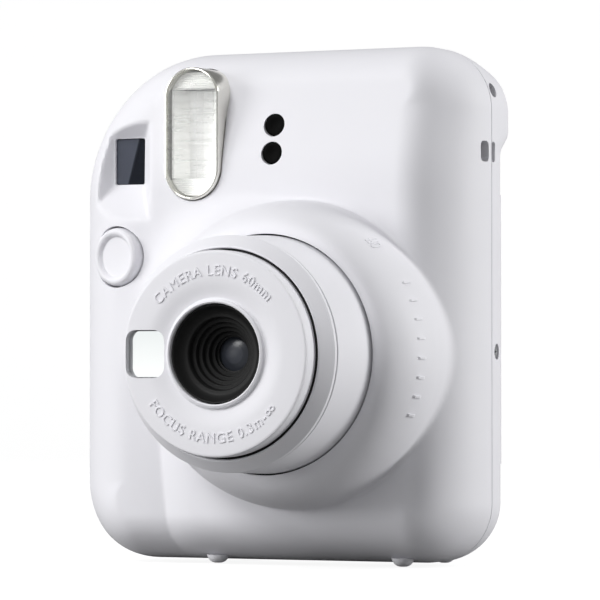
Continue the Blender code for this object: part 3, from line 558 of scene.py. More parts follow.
def moulded(name, colour, roughness, grain=0.12, vary=0.03):
    """Moulded plastic: a fine spark-eroded grain, slow changes in gloss and slightly uneven colour."""
    graph = Graph(name)
    slow = graph.noise(35.0, 2.0)
    fine = graph.noise(5200.0, 2.0)
    darker = tuple(part * (1 - vary) for part in colour[:3]) + (1.0,)
    graph.set(Base_Color=graph.mix(slow, darker, colour))
    graph.set(Roughness=graph.between(graph.noise(140.0, 4.0), roughness - 0.04, roughness + 0.05))
    graph.set(Normal=graph.bump(fine, grain, 0.00004))
    return graph


def white_plastic():
    graph = moulded("white_satin_plastic", grey(0.86, (0.964, 0.958, 1.0)), 0.56)
    graph.set(Specular_IOR_Level=0.35)
    return graph.material


def ink_tone():
    return moulded("tone_on_tone_ink", grey(0.50, (0.98, 0.99, 1.02)), 0.45, 0.05).material


def black_plastic():
    return moulded("black_satin_plastic", grey(0.009, (0.95, 0.98, 1.1)), 0.42, 0.16, 0.25).material


def inner_plastic():
    return moulded("black_inner_plastic", grey(0.02), 0.6, 0.3, 0.3).material


def plated(name, colour, roughness):
    """Bright plated trim with faint ripples from its moulding."""
    graph = Graph(name)
    ripple = graph.noise(260.0, 3.0)
    graph.set(Base_Color=colour, Metallic=0.82)
    graph.set(Roughness=graph.between(ripple, roughness * 0.8, roughness * 1.3))
    graph.set(Normal=graph.bump(ripple, 0.05, 0.0002))
    return graph.material


def brushed(name, colour, roughness, stretch=(1, 1, 14)):
    graph = Graph(name)
    lines = graph.noise(900.0, 4.0, stretch)
    graph.set(Base_Color=graph.mix(lines, tuple(0.8 * c for c in colour[:3]) + (1.0,), colour), Metallic=1.0)
    graph.set(Roughness=graph.between(lines, roughness - 0.06, roughness + 0.1))
    graph.set(Normal=graph.bump(lines, 0.12, 0.00005))
    return graph.material


def dark_glass(name, colour, gloss=0.04):
    """Smoked pane: a nearly black body that lets a little through, with a gloss surface."""
    graph = Graph(name)
    smear = graph.noise(90.0, 3.0)
    graph.set(Base_Color=graph.mix(smear, colour, tuple(1.25 * c for c in colour[:3]) + (1.0,)))
    graph.set(Roughness=graph.between(smear, gloss, gloss + 0.05), Alpha=0.62, Specular_IOR_Level=0.9)
    return graph.material


def finder_glass():
    """The finder's pane: navy, with painted shade right of a slanting line, where the tunnel's dark far wall
    shows through; there the pane also reflects less.
    """
    graph = Graph("finder_glass")
    axes = graph.axes()
    slant = -0.28
    along = graph.sums("ADD", axes["X"], graph.sums("MULTIPLY", axes["Z"], slant))
    edge = (FINDER_X + 0.6 + slant * FINDER_Z) * MM
    # Painted shade: this mask darkens the pane right of the slanting line and weakens its reflection there.
    shade = graph.share(along, edge - 0.2 * MM, edge + 0.3 * MM)
    graph.set(Base_Color=graph.mix(shade, (0.060, 0.068, 0.095, 1.0), (0.006, 0.008, 0.014, 1.0)))
    graph.set(Specular_IOR_Level=graph.between(shade, 0.35, 0.12), Alpha=0.9)
    graph.set(Roughness=graph.between(graph.noise(90.0, 3.0), 0.08, 0.14))
    return graph.material


def clear_plastic():
    """Thin clear moulding: mostly see-through, with a gloss and a faint white body."""
    graph = Graph("clear_moulded_plastic")
    waves = graph.noise(240.0, 2.0)
    graph.set(Base_Color=(0.95, 0.955, 0.95, 1.0), Alpha=graph.between(waves, 0.08, 0.14), IOR=1.5)
    graph.set(Roughness=graph.between(waves, 0.04, 0.1), Specular_IOR_Level=1.0)
    graph.set(Normal=graph.bump(waves, 0.1, 0.0003))
    return graph.material


def coated_glass():
    """Front lens element: dark with a bluish coating, and a paler round pupil in its middle."""
    graph = Graph("coated_lens_glass")
    vector = "ShaderNodeVectorMath"
    axis = (LENS_X * MM, 0.0, LENS_Z * MM)
    offset = graph.add(vector, {0: graph.spot(), 1: axis}, operation="SUBTRACT").outputs["Vector"]
    flat = graph.add(vector, {0: offset, 1: (1.0, 0.0, 1.0)}, operation="MULTIPLY").outputs["Vector"]
    radius = graph.add(vector, {0: flat}, operation="LENGTH").outputs["Value"]
    pupil = graph.share(radius, 2.1 * MM, 2.3 * MM, interpolation_type="SMOOTHSTEP")
    specks = graph.noise(600.0, 2.0)
    graph.set(Base_Color=graph.mix(pupil, (0.060, 0.066, 0.084, 1.0), (0.040, 0.045, 0.058, 1.0)))
    graph.set(Roughness=graph.between(specks, 0.28, 0.36), Coat_Weight=0.35, Coat_Roughness=0.22)
    return graph.material


def mirror_glass():
    """Silvered plastic with painted shade that darkens it a little towards its top."""
    graph = Graph("mirror_glass")
    haze = graph.noise(160.0, 2.0)
    # Painted shade: the silver's colour darkens towards the top of the mirror.
    painted_top_shade = graph.share(graph.axes()["Z"], 44.5 * MM, 55.0 * MM)
    graph.set(Base_Color=graph.mix(painted_top_shade, (0.87, 0.885, 0.875, 1.0), (0.72, 0.75, 0.745, 1.0)))
    graph.set(Metallic=1.0, Roughness=graph.between(haze, 0.03, 0.09))
    return graph.material


def reflector():
    """The flash's bright foil, with fine level lines, and a painted glow: it emits faintly all over and most
    in its lower right, where light gathers.
    """
    graph = Graph("flash_reflector_foil")
    waves = graph.noise(190.0, 4.0, (0.35, 0.35, 4.0))
    axes = graph.axes()
    # Painted glow: emission standing in for gathered light, strongest low down and to the right, scaled by the
    # line pattern.
    lower = graph.share(axes["Z"], 111.0 * MM, 94.0 * MM)
    right = graph.share(axes["X"], (FLASH_X - 2.5) * MM, (FLASH_X + 2.5) * MM)
    painted_glow = graph.sums("MULTIPLY", graph.sums("MULTIPLY", lower, right), graph.between(waves, 0.35, 1.0))
    graph.set(Emission_Color=(1.0, 1.0, 0.99, 1.0), Emission_Strength=graph.between(painted_glow, 0.10, 0.75))
    graph.set(Base_Color=graph.mix(waves, (0.55, 0.56, 0.54, 1.0), (1.0, 1.0, 0.98, 1.0)), Metallic=0.5)
    graph.set(Roughness=graph.between(waves, 0.18, 0.4), Normal=graph.bump(waves, 0.6, 0.0004))
    return graph.material


def board():
    """Circuit board: green mask with copper tracks under it."""
    graph = Graph("circuit_board")
    tracks = graph.add("ShaderNodeTexBrick", {
        "Vector": graph.spot(), "Scale": 350.0, "Color1": (0.01, 0.09, 0.03, 1),
        "Color2": (0.02, 0.13, 0.05, 1), "Mortar": (0.10, 0.20, 0.06, 1)}).outputs["Color"]
    graph.set(Base_Color=tracks, Roughness=graph.between(graph.noise(300.0), 0.35, 0.5))
    return graph.material


def cell_sleeve():
    """Battery sleeve: dark wrap with a copper-coloured band at the top."""
    graph = Graph("cell_sleeve")
    band = graph.sums("GREATER_THAN", graph.axes()["Z"], 47.0 * MM)
    graph.set(Base_Color=graph.mix(band, (0.03, 0.03, 0.035, 1), (0.55, 0.30, 0.12, 1)))
    graph.set(Roughness=graph.between(graph.noise(200.0), 0.22, 0.34), Metallic=0.3)
    return graph.material


WHITE = white_plastic()
INK = ink_tone()
BLACK = black_plastic()
INNER = inner_plastic()
CHAMPAGNE = plated("champagne_plating", (0.90, 0.89, 0.83, 1.0), 0.2)
STEEL = brushed("brushed_steel", (0.56, 0.57, 0.58, 1.0), 0.3)
ALUMINIUM = brushed("drawn_aluminium", (0.80, 0.81, 0.82, 1.0), 0.22)
SPRING = brushed("spring_wire", (0.50, 0.51, 0.52, 1.0), 0.28, (1, 1, 1))
SMOKED = dark_glass("smoked_pane", (0.016, 0.020, 0.032, 1.0))
SENSOR_GLASS = moulded("sensor_filter", grey(0.0008), 0.6, 0.02, 0.3).set(Specular_IOR_Level=0.06).material
CLEAR = clear_plastic()
FINDER_GLASS = finder_glass()
HOOD = moulded("hood_black", grey(0.012), 0.55, 0.05, 0.3).set(Specular_IOR_Level=0.22).material
LENS_GLASS = coated_glass()
MIRROR = mirror_glass()
FOIL = reflector()
# Black rubber, also used for the bands that paint shade into two gaps round the lens.
RUBBER_AND_GAP_SHADE = moulded("black_rubber_and_gap_shade", grey(0.02), 0.85, 0.4, 0.3).material
NYLON = moulded("natural_nylon", grey(0.62, (1.0, 0.99, 0.94)), 0.5).material

SLOT_MATERIALS = {
    "white_plastic": WHITE, "black_plastic": INNER, "clear_plastic": CLEAR, "smoked_glass": SMOKED,
    "champagne_chrome": CHAMPAGNE, "mirror": MIRROR, "lens_glass": LENS_GLASS, "steel": STEEL,
    "spring_steel": SPRING, "aluminium": ALUMINIUM, "rubber": RUBBER_AND_GAP_SHADE, "green_board": board(),
    "battery_sleeve": cell_sleeve(), "gear_nylon": NYLON,
}


def dress_cad_nodes():
    """Gives every CAD node that stays in view the material of its slot."""
    for part in frame["record"]["subparts"]:
        mesh = NODES[part["node"]].data
        mesh.materials.clear()
        mesh.materials.append(SLOT_MATERIALS[part["material_slot"]])
        mesh.shade_smooth()
        mesh.set_sharp_from_angle(angle=math.radians(35))


# ---------------------------------------------------------------- covers and doors

def inner_space(name, low_depth, high_depth):
    """The hollow of the covers, a wall's thickness inside their skin."""
    def level(x, depth, z):
        return np.maximum(np.maximum(skin(x, depth, z) + WALL, low_depth - depth), depth - high_depth)
    reach = HALF_WIDTH + 1
    low, high = (-reach, low_depth - 2, -1), (reach, high_depth + 2, TOP + 1)
    return field_mesh(name, level, low, high, COARSE, settle=0)


def foot(name, x, depth, height=1.0):
    rings = []
    profile = ((2.7, -1.8), (2.55, -1.0), (2.3, -0.4), (1.95, 0.2), (1.5, 0.65), (0.9, 0.95), (0.3, 1.0))
    for radius, drop in profile:
        rings.append([place(a, b, BOTTOM - height * drop) for a, b in circle(x, depth, radius, 32)])
    return loft(name, rings)


def strap_slot(name, depths):
    low, high = depths
    outline = rounded((low + high) / 2, SLOT_HEIGHT, high - low, 4.9, min(1.2, 0.45 * (high - low)), 6)
    return across(name, outline, (48.6, 60.0))


def build_front_cover():
    def level(x, depth, z):
        return np.maximum(skin(x, depth, z), depth - (SEAM + 3))
    reach = HALF_WIDTH + 1.5
    cover = field_mesh("front_shell", level, (-reach, -DOME_LIP - 2, -1), (reach, SEAM + 5, TOP + 2), FINE)
    cuts = [
        block("seam_cut", (-80, 80), (SEAM - SEAM_GAP / 2, 60), (-40, 180)),
        inner_space("front_space", -DOME_LIP + WALL, SEAM + 8),
        turned("lens_bore", [(0, -40), (BORE_RADIUS, -40), (BORE_RADIUS, 40), (0, 40)]),
        extruded("finder_hole", rounded(FINDER_X, FINDER_Z, 8.2, 11.2, 0.5), (4.0, 20.0)),
        extruded("flash_hole", rounded(FLASH_X, FLASH_Z, 15.0, 32.0, 7.4, 16), (-8.0, 14.0)),
        tilted(turned("button_hole", [(0, -8), (7.4, -8), (7.4, 9), (0, 9)], centre=(0, 0))),
        strap_slot("front_slot", (17.2, 20.9)),
    ]
    for sign in (-1, 1):
        hole = circle(SENSOR_X, SENSOR_Z + sign * SENSOR_SPACING / 2, SENSOR_RADIUS, 64)
        cuts.append(extruded(f"sensor_hole_{sign + 1}", hole, (-4.0, 12.0)))
    boolean(cover, cuts)
    boolean(cover, [foot(f"front_foot_{side}", x, 9.5, 0.7) for side, x in FEET.items()], "UNION")
    return show(smooth(cover), "camera_body", WHITE, ["front_cover"])


def rear_solid(name):
    def level(x, depth, z):
        return np.maximum(body_distance(x, depth, z), SEAM - 2 - depth)
    reach = HALF_WIDTH + 1.5
    solid = field_mesh(name, level, (-reach, SEAM - 4, -1), (reach, BODY_DEPTH + HUMP + 2, TOP + 2), FINE)
    boolean(solid, [inner_space(name + "_space", SEAM - 6, BODY_DEPTH + HUMP)])
    return solid


def door_outline(growth):
    left, _, bottom, top = DOOR
    centre_x, centre_z = (left + 70.0) / 2, (bottom + top) / 2
    return rounded(centre_x, centre_z, 70.0 - left + 2 * growth, top - bottom + 2 * growth, 4.0 + growth)


def build_rear_pieces():
    """The rear cover, the film door and the battery door: three pieces of one skin."""
    whole = rear_solid("rear_shell")
    door = link("film_door_panel", whole.data.copy())
    battery = link("battery_door_panel", whole.data.copy())
    build_rear_cover(whole)
    build_film_door(door)
    build_battery_door(battery)


def build_rear_cover(cover):
    bottom, top, front, rear = BATTERY_DOOR
    eyepiece = rounded(EYEPIECE_X, EYEPIECE_Z, 8.6, 8.2, 1.6)
    counter = rounded(DIAL_X, DIAL_Z + 5.2, 8.6, 4.6, 1.0)
    cuts = [
        block("seam_cut", (-80, 80), (0, SEAM + SEAM_GAP / 2), (-40, 180)),
        extruded("door_hole", door_outline(GAP), (DOOR_FRONT - GAP, 70)),
        block("battery_hole", (-60, -40), (front - SWING_GAP, rear + SWING_GAP), (bottom - GAP, top + GAP)),
        block("exit_hole", (-17.0, 41.0), (24.4, 28.8), (115.0, 130.0)),
        extruded("eyepiece_hole", eyepiece, (36.0, 60.0)),
        extruded("counter_hole", counter, (34.0, 60.0)),
        block("latch_hole", (-33.6, -29.0), (36.0, 60.0), (37.0, 55.0)),
        strap_slot("rear_slot", (22.4, 24.5)),
        across("side_screw_hole", circle(26.0, 50.6, 1.9), (45, 60)),
        across("upper_screw_hole", circle(24.9, 112.3, 1.7), (44, 60)),
    ]
    for index, x in enumerate((-16.0, 38.0)):
        cuts.append(upright(f"base_screw_hole_{index}", circle(x, 27.0, 1.9), (-5, 5)))
    boolean(cover, cuts)
    boolean(cover, [foot(f"rear_foot_{side}", x, 33.0, 0.7) for side, x in FEET.items()], "UNION")
    show(smooth(cover), "camera_body", WHITE, ["rear_cover"])


def build_film_door(door):
    boolean(door, [extruded("door_area", door_outline(0.0), (DOOR_FRONT, 70))], "INTERSECT")
    boolean(door, [block("door_side", (DOOR[1], 80), (0, 80), (-10, 140))])
    boolean(door, [upright("door_knuckle", circle(*HINGE, 1.0), KNUCKLE)], "UNION")
    boolean(door, [
        upright("door_bore", circle(*HINGE, 0.75), (0, 120)),
        extruded("door_window_hole", rounded(-14.0, 24.0, 5.0, 18.0, 1.5), (30, 60)),
    ])
    boolean(door, door_ribs(), "UNION")
    show(smooth(door), "film_door", WHITE, ["film_door"])


def door_ribs():
    """Stiffening ribs on the door's inside, three upright and three level."""
    ribs = []
    for index, (x, z) in enumerate(((-8.0, 38.0), (12.0, 61.0), (32.0, 83.0))):
        ribs.append(block(f"door_rib_{index}", (x, x + 1.0), (35.9, 37.4), (38.0, 84.0)))
        ribs.append(block(f"door_bar_{index}", (-12.0, 38.0), (36.2, 37.4), (z, z + 1.0)))
    return ribs


def build_battery_door(door):
    bottom, top, front, rear = BATTERY_DOOR
    boolean(door, [block("battery_area", (-60, -41), (front, rear), (bottom, top))], "INTERSECT")
    boolean(door, [upright("battery_knuckle", circle(*BATTERY_HINGE, 1.15), BATTERY_KNUCKLE)], "UNION")
    grips = []
    for index in range(4):
        height = 34.0 + 2.6 * index
        grips.append(block(f"grip_line_{index}", (-60, -50.3), (29.0, 31.5), (height, height + 1.2)))
    boolean(door, [upright("battery_bore", circle(*BATTERY_HINGE, 0.7), (0, 120))] + grips)
    show(smooth(door), "battery_door", WHITE, ["battery_door"])


# ---------------------------------------------------------------- lens

def build_plate():
    """The front plate: a flat rim with raised lettering that dishes in towards the lens."""
    dish = []
    for step in range(9):
        share = step / 8
        dish.append((12.7 + 5.1 * share, -41.05 - 0.9 * math.sin(share * math.pi / 2) ** 1.3))
    profile = [(11.45, -37.5), (11.45, -41.75), (11.75, -41.98), (12.2, -41.75), (12.35, -41.2)] + dish
    profile += [(22.7, -42.0), (23.2, -41.75), (23.45, -41.2), (23.4, -37.5)]
    plate = turned("lens_plate", profile)
    pocket = rounded(MIRROR_X, MIRROR_Z, 9.5, 10.9, 2.4, 12)
    boolean(plate, [extruded("mirror_pocket", pocket, (-50.0, -38.9))])
    show(smooth(plate, 30), "lens_barrel", WHITE, ["front_plate"])
    arc_text("lens_words_top", "CAMERA LENS 60mm", plate_point, 17.75, 91.0, 100.0, True)
    arc_text("lens_words_bottom", "FOCUS RANGE 0.3m-∞", plate_point, 20.15, 268.5, 107.0, False)


def plate_point(radius, angle, lift):
    return (LENS_X + radius * math.cos(angle), -42.02 - lift, LENS_Z + radius * math.sin(angle))


def text_mesh(name, words, size, extrude):
    """A word as a mesh that lies in X and Y, with its middle over the origin."""
    curve = bpy.data.curves.new(name, "FONT")
    curve.body = words
    curve.size = size
    curve.space_character = 1.15
    curve.extrude = extrude
    curve.bevel_depth = 0.03
    curve.offset = -0.02
    curve.align_x = "CENTER"
    source = bpy.data.objects.new(name + "_source", curve)
    bpy.context.scene.collection.objects.link(source)
    graph = bpy.context.evaluated_depsgraph_get()
    graph.update()
    mesh = bpy.data.meshes.new_from_object(source.evaluated_get(graph), depsgraph=graph)
    bpy.data.objects.remove(source, do_unlink=True)
    return mesh


def arc_text(name, words, point, base_radius, centre_angle, spread, clockwise, size=3.3, body="lens_barrel"):
    """Raised words along an arc about the lens axis, on the surface that a point function describes."""
    mesh = text_mesh(name, words, size, 0.15)
    width = max(vert.co.x for vert in mesh.vertices) - min(vert.co.x for vert in mesh.vertices)
    turn = 1 if clockwise else -1
    for vert in mesh.vertices:
        angle = math.radians(centre_angle - turn * spread * vert.co.x / width)
        vert.co = place(*point(base_radius + turn * vert.co.y, angle, vert.co.z))
    return show(smooth(link(name, mesh)), body, WHITE, ())


def build_mirror():
    glass = extruded("front_mirror", rounded(MIRROR_X, MIRROR_Z, 9.2, 10.6, 2.25, 12), (-40.3, -39.1))
    show(smooth(bevel(glass, 0.1)), "lens_barrel", MIRROR, ["selfie_mirror"])


def build_ring():
    """The trim at the ring's front edge and the ring itself, with the groove between them."""
    trim = [(23.9, -37.3), (24.1, -37.75), (24.5, -37.65), (26.55, -35.3), (26.95, -34.8), (27.0, -33.9),
            (26.9, -33.8), (23.9, -33.8)]
    ring = [(25.8, -33.15), (26.7, -33.15), (26.88, -32.95), (RING_RADIUS, -17.0), (RING_RADIUS, -11.5),
            (25.8, -11.5)]
    edge = turned("ring_edge", filleted(trim, 0.2, 3))
    show(smooth(edge, 40), "twist_ring", WHITE, ["ring_trim"])
    show(smooth(turned("ring_barrel", ring, 0.06), 40), "twist_ring", WHITE, ["twist_ring"])


def build_seals():
    """Painted shade: black bands put behind two gaps, in the dome's mouth round the ring and in the groove
    behind the trim, so that the gaps read as dark lines.
    """
    mouth = [(27.58, -15.8), (27.6, -16.1), (27.8, -16.1), (27.88, -15.9), (27.88, -11.0), (27.6, -11.0)]
    show(smooth(turned("mouth_shade_band", mouth), 40), "camera_body", RUBBER_AND_GAP_SHADE, ())
    groove = [(25.2, -33.78), (26.62, -33.78), (26.66, -33.7), (26.66, -33.25), (26.6, -33.17),
              (25.2, -33.17)]
    show(smooth(turned("groove_shade_band", groove), 40), "twist_ring", RUBBER_AND_GAP_SHADE, ())


def build_baffle():
    """The black cone before the lens: a hollowed outer ring, then steps that shrink towards the glass."""
    profile = [(11.2, -41.0), (11.2, -33.6), (21.0, -33.6), (21.0, -32.4), (4.2, -32.4), (4.2, -33.2)]
    for step in range(4):
        radius, depth = 5.2 + step, -33.2 - 1.25 * step
        profile += [(radius - 0.15, depth), (radius, depth - 1.25)]
    for step in range(9):
        share = step / 8
        profile.append((8.45 + 2.45 * share, -38.6 - 2.4 * share + 0.7 * math.sin(math.pi * share)))
    baffle = turned("lens_hood", profile, 0.18)
    show(smooth(baffle, 28), "lens_barrel", HOOD, ["lens_baffle"])


def lens_element(name, radius, middle_depth, front_bulge, rear_bulge, node):
    steps = 12
    shares = [step / steps for step in range(steps + 1)]
    front = [(radius * share, middle_depth - 0.3 - front_bulge * (1 - share ** 2)) for share in shares]
    shares.reverse()
    rear = [(radius * share, middle_depth + 0.3 + rear_bulge * (1 - share ** 2)) for share in shares]
    show(smooth(turned(name, front + rear, steps=96)), "lens_barrel", LENS_GLASS, [node])


def build_barrel():
    cell = [(3.9, -32.1), (9.0, -32.1), (9.0, -27.0), (18.6, -27.0), (18.6, -26.2), (4.4, -26.2),
            (4.4, -31.3), (3.9, -31.3)]
    tube = [(12.6, -37.2), (23.6, -37.2), (23.6, -33.0), (25.5, -33.0), (25.5, -8.0), (24.0, -8.0),
            (24.0, -31.6), (22.2, -31.6), (22.2, -35.8), (12.6, -35.8)]
    sleeve = [(28.2, -14.6), (29.4, -14.6), (29.4, 8.0), (33.4, 8.0), (33.4, 9.4), (28.2, 9.4)]
    holder = turned("element_holder", cell, 0.12, steps=96)
    barrel = turned("inner_barrel", tube, 0.15)
    thread = turned("thread_sleeve", sleeve, 0.15)
    show(smooth(holder), "lens_barrel", INNER, ["lens_cell"])
    show(smooth(barrel), "lens_barrel", INNER, ["lens_barrel"])
    show(smooth(thread), "camera_body", INNER, ["helicoid_sleeve"])


def build_lens():
    build_plate()
    build_mirror()
    build_ring()
    build_baffle()
    build_seals()
    lens_element("front_glass", 4.0, -30.9, 1.0, 0.7, "front_lens")
    lens_element("rear_glass", 4.0, -28.2, 0.9, 0.5, "rear_lens")
    build_barrel()
    build_ticks()


def dome_point(radius, angle, lift=0.0):
    """A place on the dome at a radius and an angle about the lens axis, lifted off its surface."""
    reach = DOME_RADIUS - BORE_RADIUS
    turn = math.acos(min(1.0, (radius - BORE_RADIUS) / reach))
    depth = -DOME_LIP * math.sin(turn)
    normal = Vector((math.cos(turn) / reach, -math.sin(turn) / DOME_LIP)).normalized()
    out = radius + lift * normal.x
    return (LENS_X + out * math.cos(angle), depth + lift * normal.y, LENS_Z + out * math.sin(angle))


def build_ticks():
    """Eight small raised bars on the dome that mark how far the ring has turned."""
    count, first, last = 8, 27.6, -23.1
    work = bmesh.new()
    for index in range(count):
        angle = math.radians(first + (last - first) * index / (count - 1))
        half = 0.26 / 35.0
        loops = []
        for step in range(7):
            radius = 35.84 - 0.66 * step / 6
            lift = 0.34 if 0 < step < 6 else 0.02
            corners = [(-half, -0.3), (-half, lift), (half, lift), (half, -0.3)]
            spots = [place(*dome_point(radius, angle + side, up)) for side, up in corners]
            loops.append([work.verts.new(spot) for spot in spots])
        for lower, upper in zip(loops, loops[1:]):
            for corner in range(4):
                after = (corner + 1) % 4
                work.faces.new((lower[corner], lower[after], upper[after], upper[corner]))
        work.faces.new(loops[0][::-1])
        work.faces.new(loops[-1])
    show(smooth(from_bmesh("dome_marks", work)), "camera_body", WHITE, ())
    arc_text("dome_off_mark", "OFF", dome_point, 35.6, 46.9, 5.0, False, 1.4, "camera_body")


# ---------------------------------------------------------------- front pieces

def build_button():
    profile = [(0.0, 0.1), (4.75, 0.1), (4.9, -0.1), (5.1, -0.5), (5.45, -0.85), (5.9, -1.0), (6.4, -0.85),
               (6.8, -0.4), (7.0, 0.3), (7.05, 0.8), (7.05, 2.6), (0.0, 2.6)]
    button = tilted(turned("release_button", filleted(profile, 0.25, 3), centre=(0, 0)))
    show(smooth(button, 40), "shutter_button", WHITE, ["shutter_button"])


def flare(x, z):
    """How far the back of the bezel widens, towards its upper right."""
    return 1.3 * float(ramp(z - FLASH_Z, -14.0, 14.0)) * float(ramp(x - FLASH_X, 0.0, 6.0))


def build_flash():
    """Bezel with rounded edges, a clear window with ribbed caps, and the trough with its tube."""
    front = -1.1
    back = 8.0
    length = 17.0
    profile = [(14.6, back), (14.6, front + 0.7), (14.45, front + 0.3), (14.1, front + 0.05), (13.8, front),
               (13.5, front + 0.08), (13.3, front + 0.35), (13.2, back)]
    rings = []
    for index, (width, depth) in enumerate(profile):
        height = width + length
        outline = rounded(FLASH_X, FLASH_Z, width, height, width / 2 - 0.02, 24)
        rings.append([place(x + (flare(x, z) if index == 0 else 0.0), depth, z) for x, z in outline])
    work = bmesh.new()
    loops = [[work.verts.new(spot) for spot in ring] for ring in rings]
    for index, lower in enumerate(loops):
        upper = loops[(index + 1) % len(loops)]
        for corner in range(len(lower)):
            after = (corner + 1) % len(lower)
            work.faces.new((lower[corner], lower[after], upper[after], upper[corner]))
    frame_piece = from_bmesh("flash_frame", work)
    show(smooth(frame_piece), "camera_body", CHAMPAGNE, ["flash_bezel"])
    build_flash_window(front)
    build_flash_caps()
    build_flash_trough()


def build_flash_window(front):
    """A clear pane with a moulded box in its middle, and small pips at the box's corners."""
    pane = extruded("flash_pane", rounded(FLASH_X, FLASH_Z, 13.0, 30.0, 6.48, 24), (front + 0.35, 0.4))
    bevel(pane, 0.3)
    pieces = []
    for sign in (-1, 1):
        rod = upright(f"flash_rod_{sign}", circle(FLASH_X + 4.75 * sign, front + 0.3, 0.3, 12), (-10.2, 10.2))
        rod.data.transform(Matrix.Translation((0, 0, FLASH_Z * MM)))
        pieces.append(rod)
        for end in (-1, 1):
            pip = turned(f"pip_{sign}_{end}", [(0, -0.2), (0.35, -0.15), (0.5, 0.1), (0.5, 1.0), (0, 1.0)],
                         centre=(FLASH_X + 3.6 * sign, FLASH_Z + 7.6 * end), steps=20)
            pip.data.transform(Matrix.Translation((0, front * MM + 0.0003, 0)))
            pieces.append(pip)
    boolean(pane, pieces, "UNION")
    show(smooth(pane), "camera_body", CLEAR, ["flash_window"])


def build_flash_caps():
    """The corrugated ends of the flash, above and below its trough."""
    for name, sign in (("lower", -1), ("upper", 1)):
        outline = [(2.2, FLASH_Z + sign * 10.6)]
        for ridge in range(8):
            start = 10.6 + 0.52 * ridge
            outline += [(0.95, FLASH_Z + sign * (start + 0.12)), (0.75, FLASH_Z + sign * (start + 0.3)),
                        (1.1, FLASH_Z + sign * (start + 0.46))]
        outline.append((2.2, FLASH_Z + sign * 14.9))
        cap = across("flash_cap_" + name, outline, (FLASH_X - 6.4, FLASH_X + 6.4))
        opening = rounded(FLASH_X, FLASH_Z, 12.9, 29.9, 6.4, 20)
        boolean(cap, [extruded("cap_outline", opening, (-5, 9))], "INTERSECT")
        show(smooth(cap, 20), "camera_body", FOIL, ())


def build_flash_trough():
    """A bright trough with flared sides, and a narrow groove at its right side."""
    inner = [(-5.6, 0.75), (-3.9, 4.3), (-3.3, 4.8), (2.75, 4.8), (2.85, 5.4), (3.1, 5.4), (3.15, 4.5),
             (5.6, 0.75)]
    outer = [(6.1, 0.75), (3.7, 5.9), (-3.7, 5.9), (-6.1, 0.75)]
    outline = [(FLASH_X + x, depth) for x, depth in inner + outer]
    trough = upright("flash_trough", outline, (FLASH_Z - 10.5, FLASH_Z + 10.5))
    show(smooth(trough), "camera_body", FOIL, ["flash_reflector"])
    tube = upright("flash_lamp", circle(FLASH_X, 3.4, 0.9, 32), (FLASH_Z - 11.0, FLASH_Z + 11.0))
    show(smooth(bevel(tube, 0.3)), "camera_body", CLEAR, ["flash_tube"])


def build_sensors():
    """A dark pane behind the front, with a round window that fills each of the two holes."""
    low, high = SENSOR_Z - 6.75, SENSOR_Z + 6.75
    outline = [(float(lean(low)) + 2.4, low), (float(lean(low)) + 4.1, low),
               (float(lean(high)) + 4.1, high), (float(lean(high)) + 2.4, high)]
    pane = across("sensor_window", outline, (SENSOR_X - 4.0, SENSOR_X + 4.0))
    windows = []
    for sign in (-1, 1):
        z = SENSOR_Z + sign * SENSOR_SPACING / 2
        depth = float(lean(z)) + 0.45
        face = [(0.0, depth + 0.25), (0.9, depth + 0.2), (1.6, depth + 0.05), (2.1, depth),
                (2.6, depth + 0.08), (2.6, depth + 3.0), (0.0, depth + 3.0)]
        windows.append(turned(f"sensor_face_{sign + 1}", face, centre=(SENSOR_X, z), steps=64))
    boolean(pane, windows, "UNION")
    show(smooth(pane), "camera_body", SENSOR_GLASS, ["sensor_cover"])


def build_finder():
    """The viewfinder's front pane, a pale frame close behind it, and the eyepiece."""
    pane = rounded(FINDER_X, FINDER_Z, 8.1, 11.1, 0.45)
    window = extruded("finder_window", pane, (FINDER_DEPTH + 0.1, 8.5))
    show(smooth(bevel(window, 0.12)), "camera_body", FINDER_GLASS, ["finder_front_window"])
    surround = extruded("finder_surround", pane, (8.6, 9.1))
    corners = [(-2.9, -4.5), (3.9, -5.1), (3.9, 4.9), (-2.7, 4.9)]
    hole = [(FINDER_X + x, FINDER_Z + z) for x, z in corners]
    boolean(surround, [extruded("surround_hole", hole, (8.0, 10.0))])
    show(smooth(surround), "camera_body", INK, ())
    eyepiece = extruded("eyepiece", rounded(EYEPIECE_X, EYEPIECE_Z, 8.0, 7.6, 1.3), (39.0, 43.0))
    show(smooth(bevel(eyepiece, 0.3)), "camera_body", SMOKED, ["finder_eyepiece"])


# ---------------------------------------------------------------- back pieces and screws

def build_back():
    pane = extruded("door_pane", rounded(-14.0, 24.0, 4.4, 17.4, 1.3), (37.4, 38.6))
    show(smooth(bevel(pane, 0.2)), "film_door", SMOKED, ["door_window"])
    counter = extruded("counter_pane", rounded(DIAL_X, DIAL_Z + 5.2, 8.0, 4.0, 0.8), (37.3, 38.5))
    show(smooth(bevel(counter, 0.2)), "camera_body", CLEAR, ["counter_window"])
    latch = extruded("latch_slider", rounded(LATCH_X, LATCH_Z, 3.8, 11.4, 1.0), (37.0, 40.2))
    bevel(latch, 0.3)
    gaps = []
    for rib in range(4):
        height = 39.4 + rib * 2.4
        gaps.append(block(f"latch_gap_{rib}", (-40, -20), (39.5, 45), (height, height + 1.0)))
    boolean(latch, gaps)
    show(smooth(latch), "door_latch", WHITE, ["door_latch"])
    build_latch_track()
    build_dial()


def build_latch_track():
    """The plate that closes the latch's slot from inside, with a groove for the slider's foot."""
    centre_z = LATCH_Z + 2.7
    plate = extruded("latch_track", rounded(LATCH_X, centre_z, 7.2, 21.0, 0.8), (36.15, 36.8))
    boolean(plate, [extruded("track_groove", rounded(LATCH_X, centre_z, 1.6, 15.0, 0.7), (36.5, 38.0))])
    show(smooth(bevel(plate, 0.1)), "camera_body", INK, ())


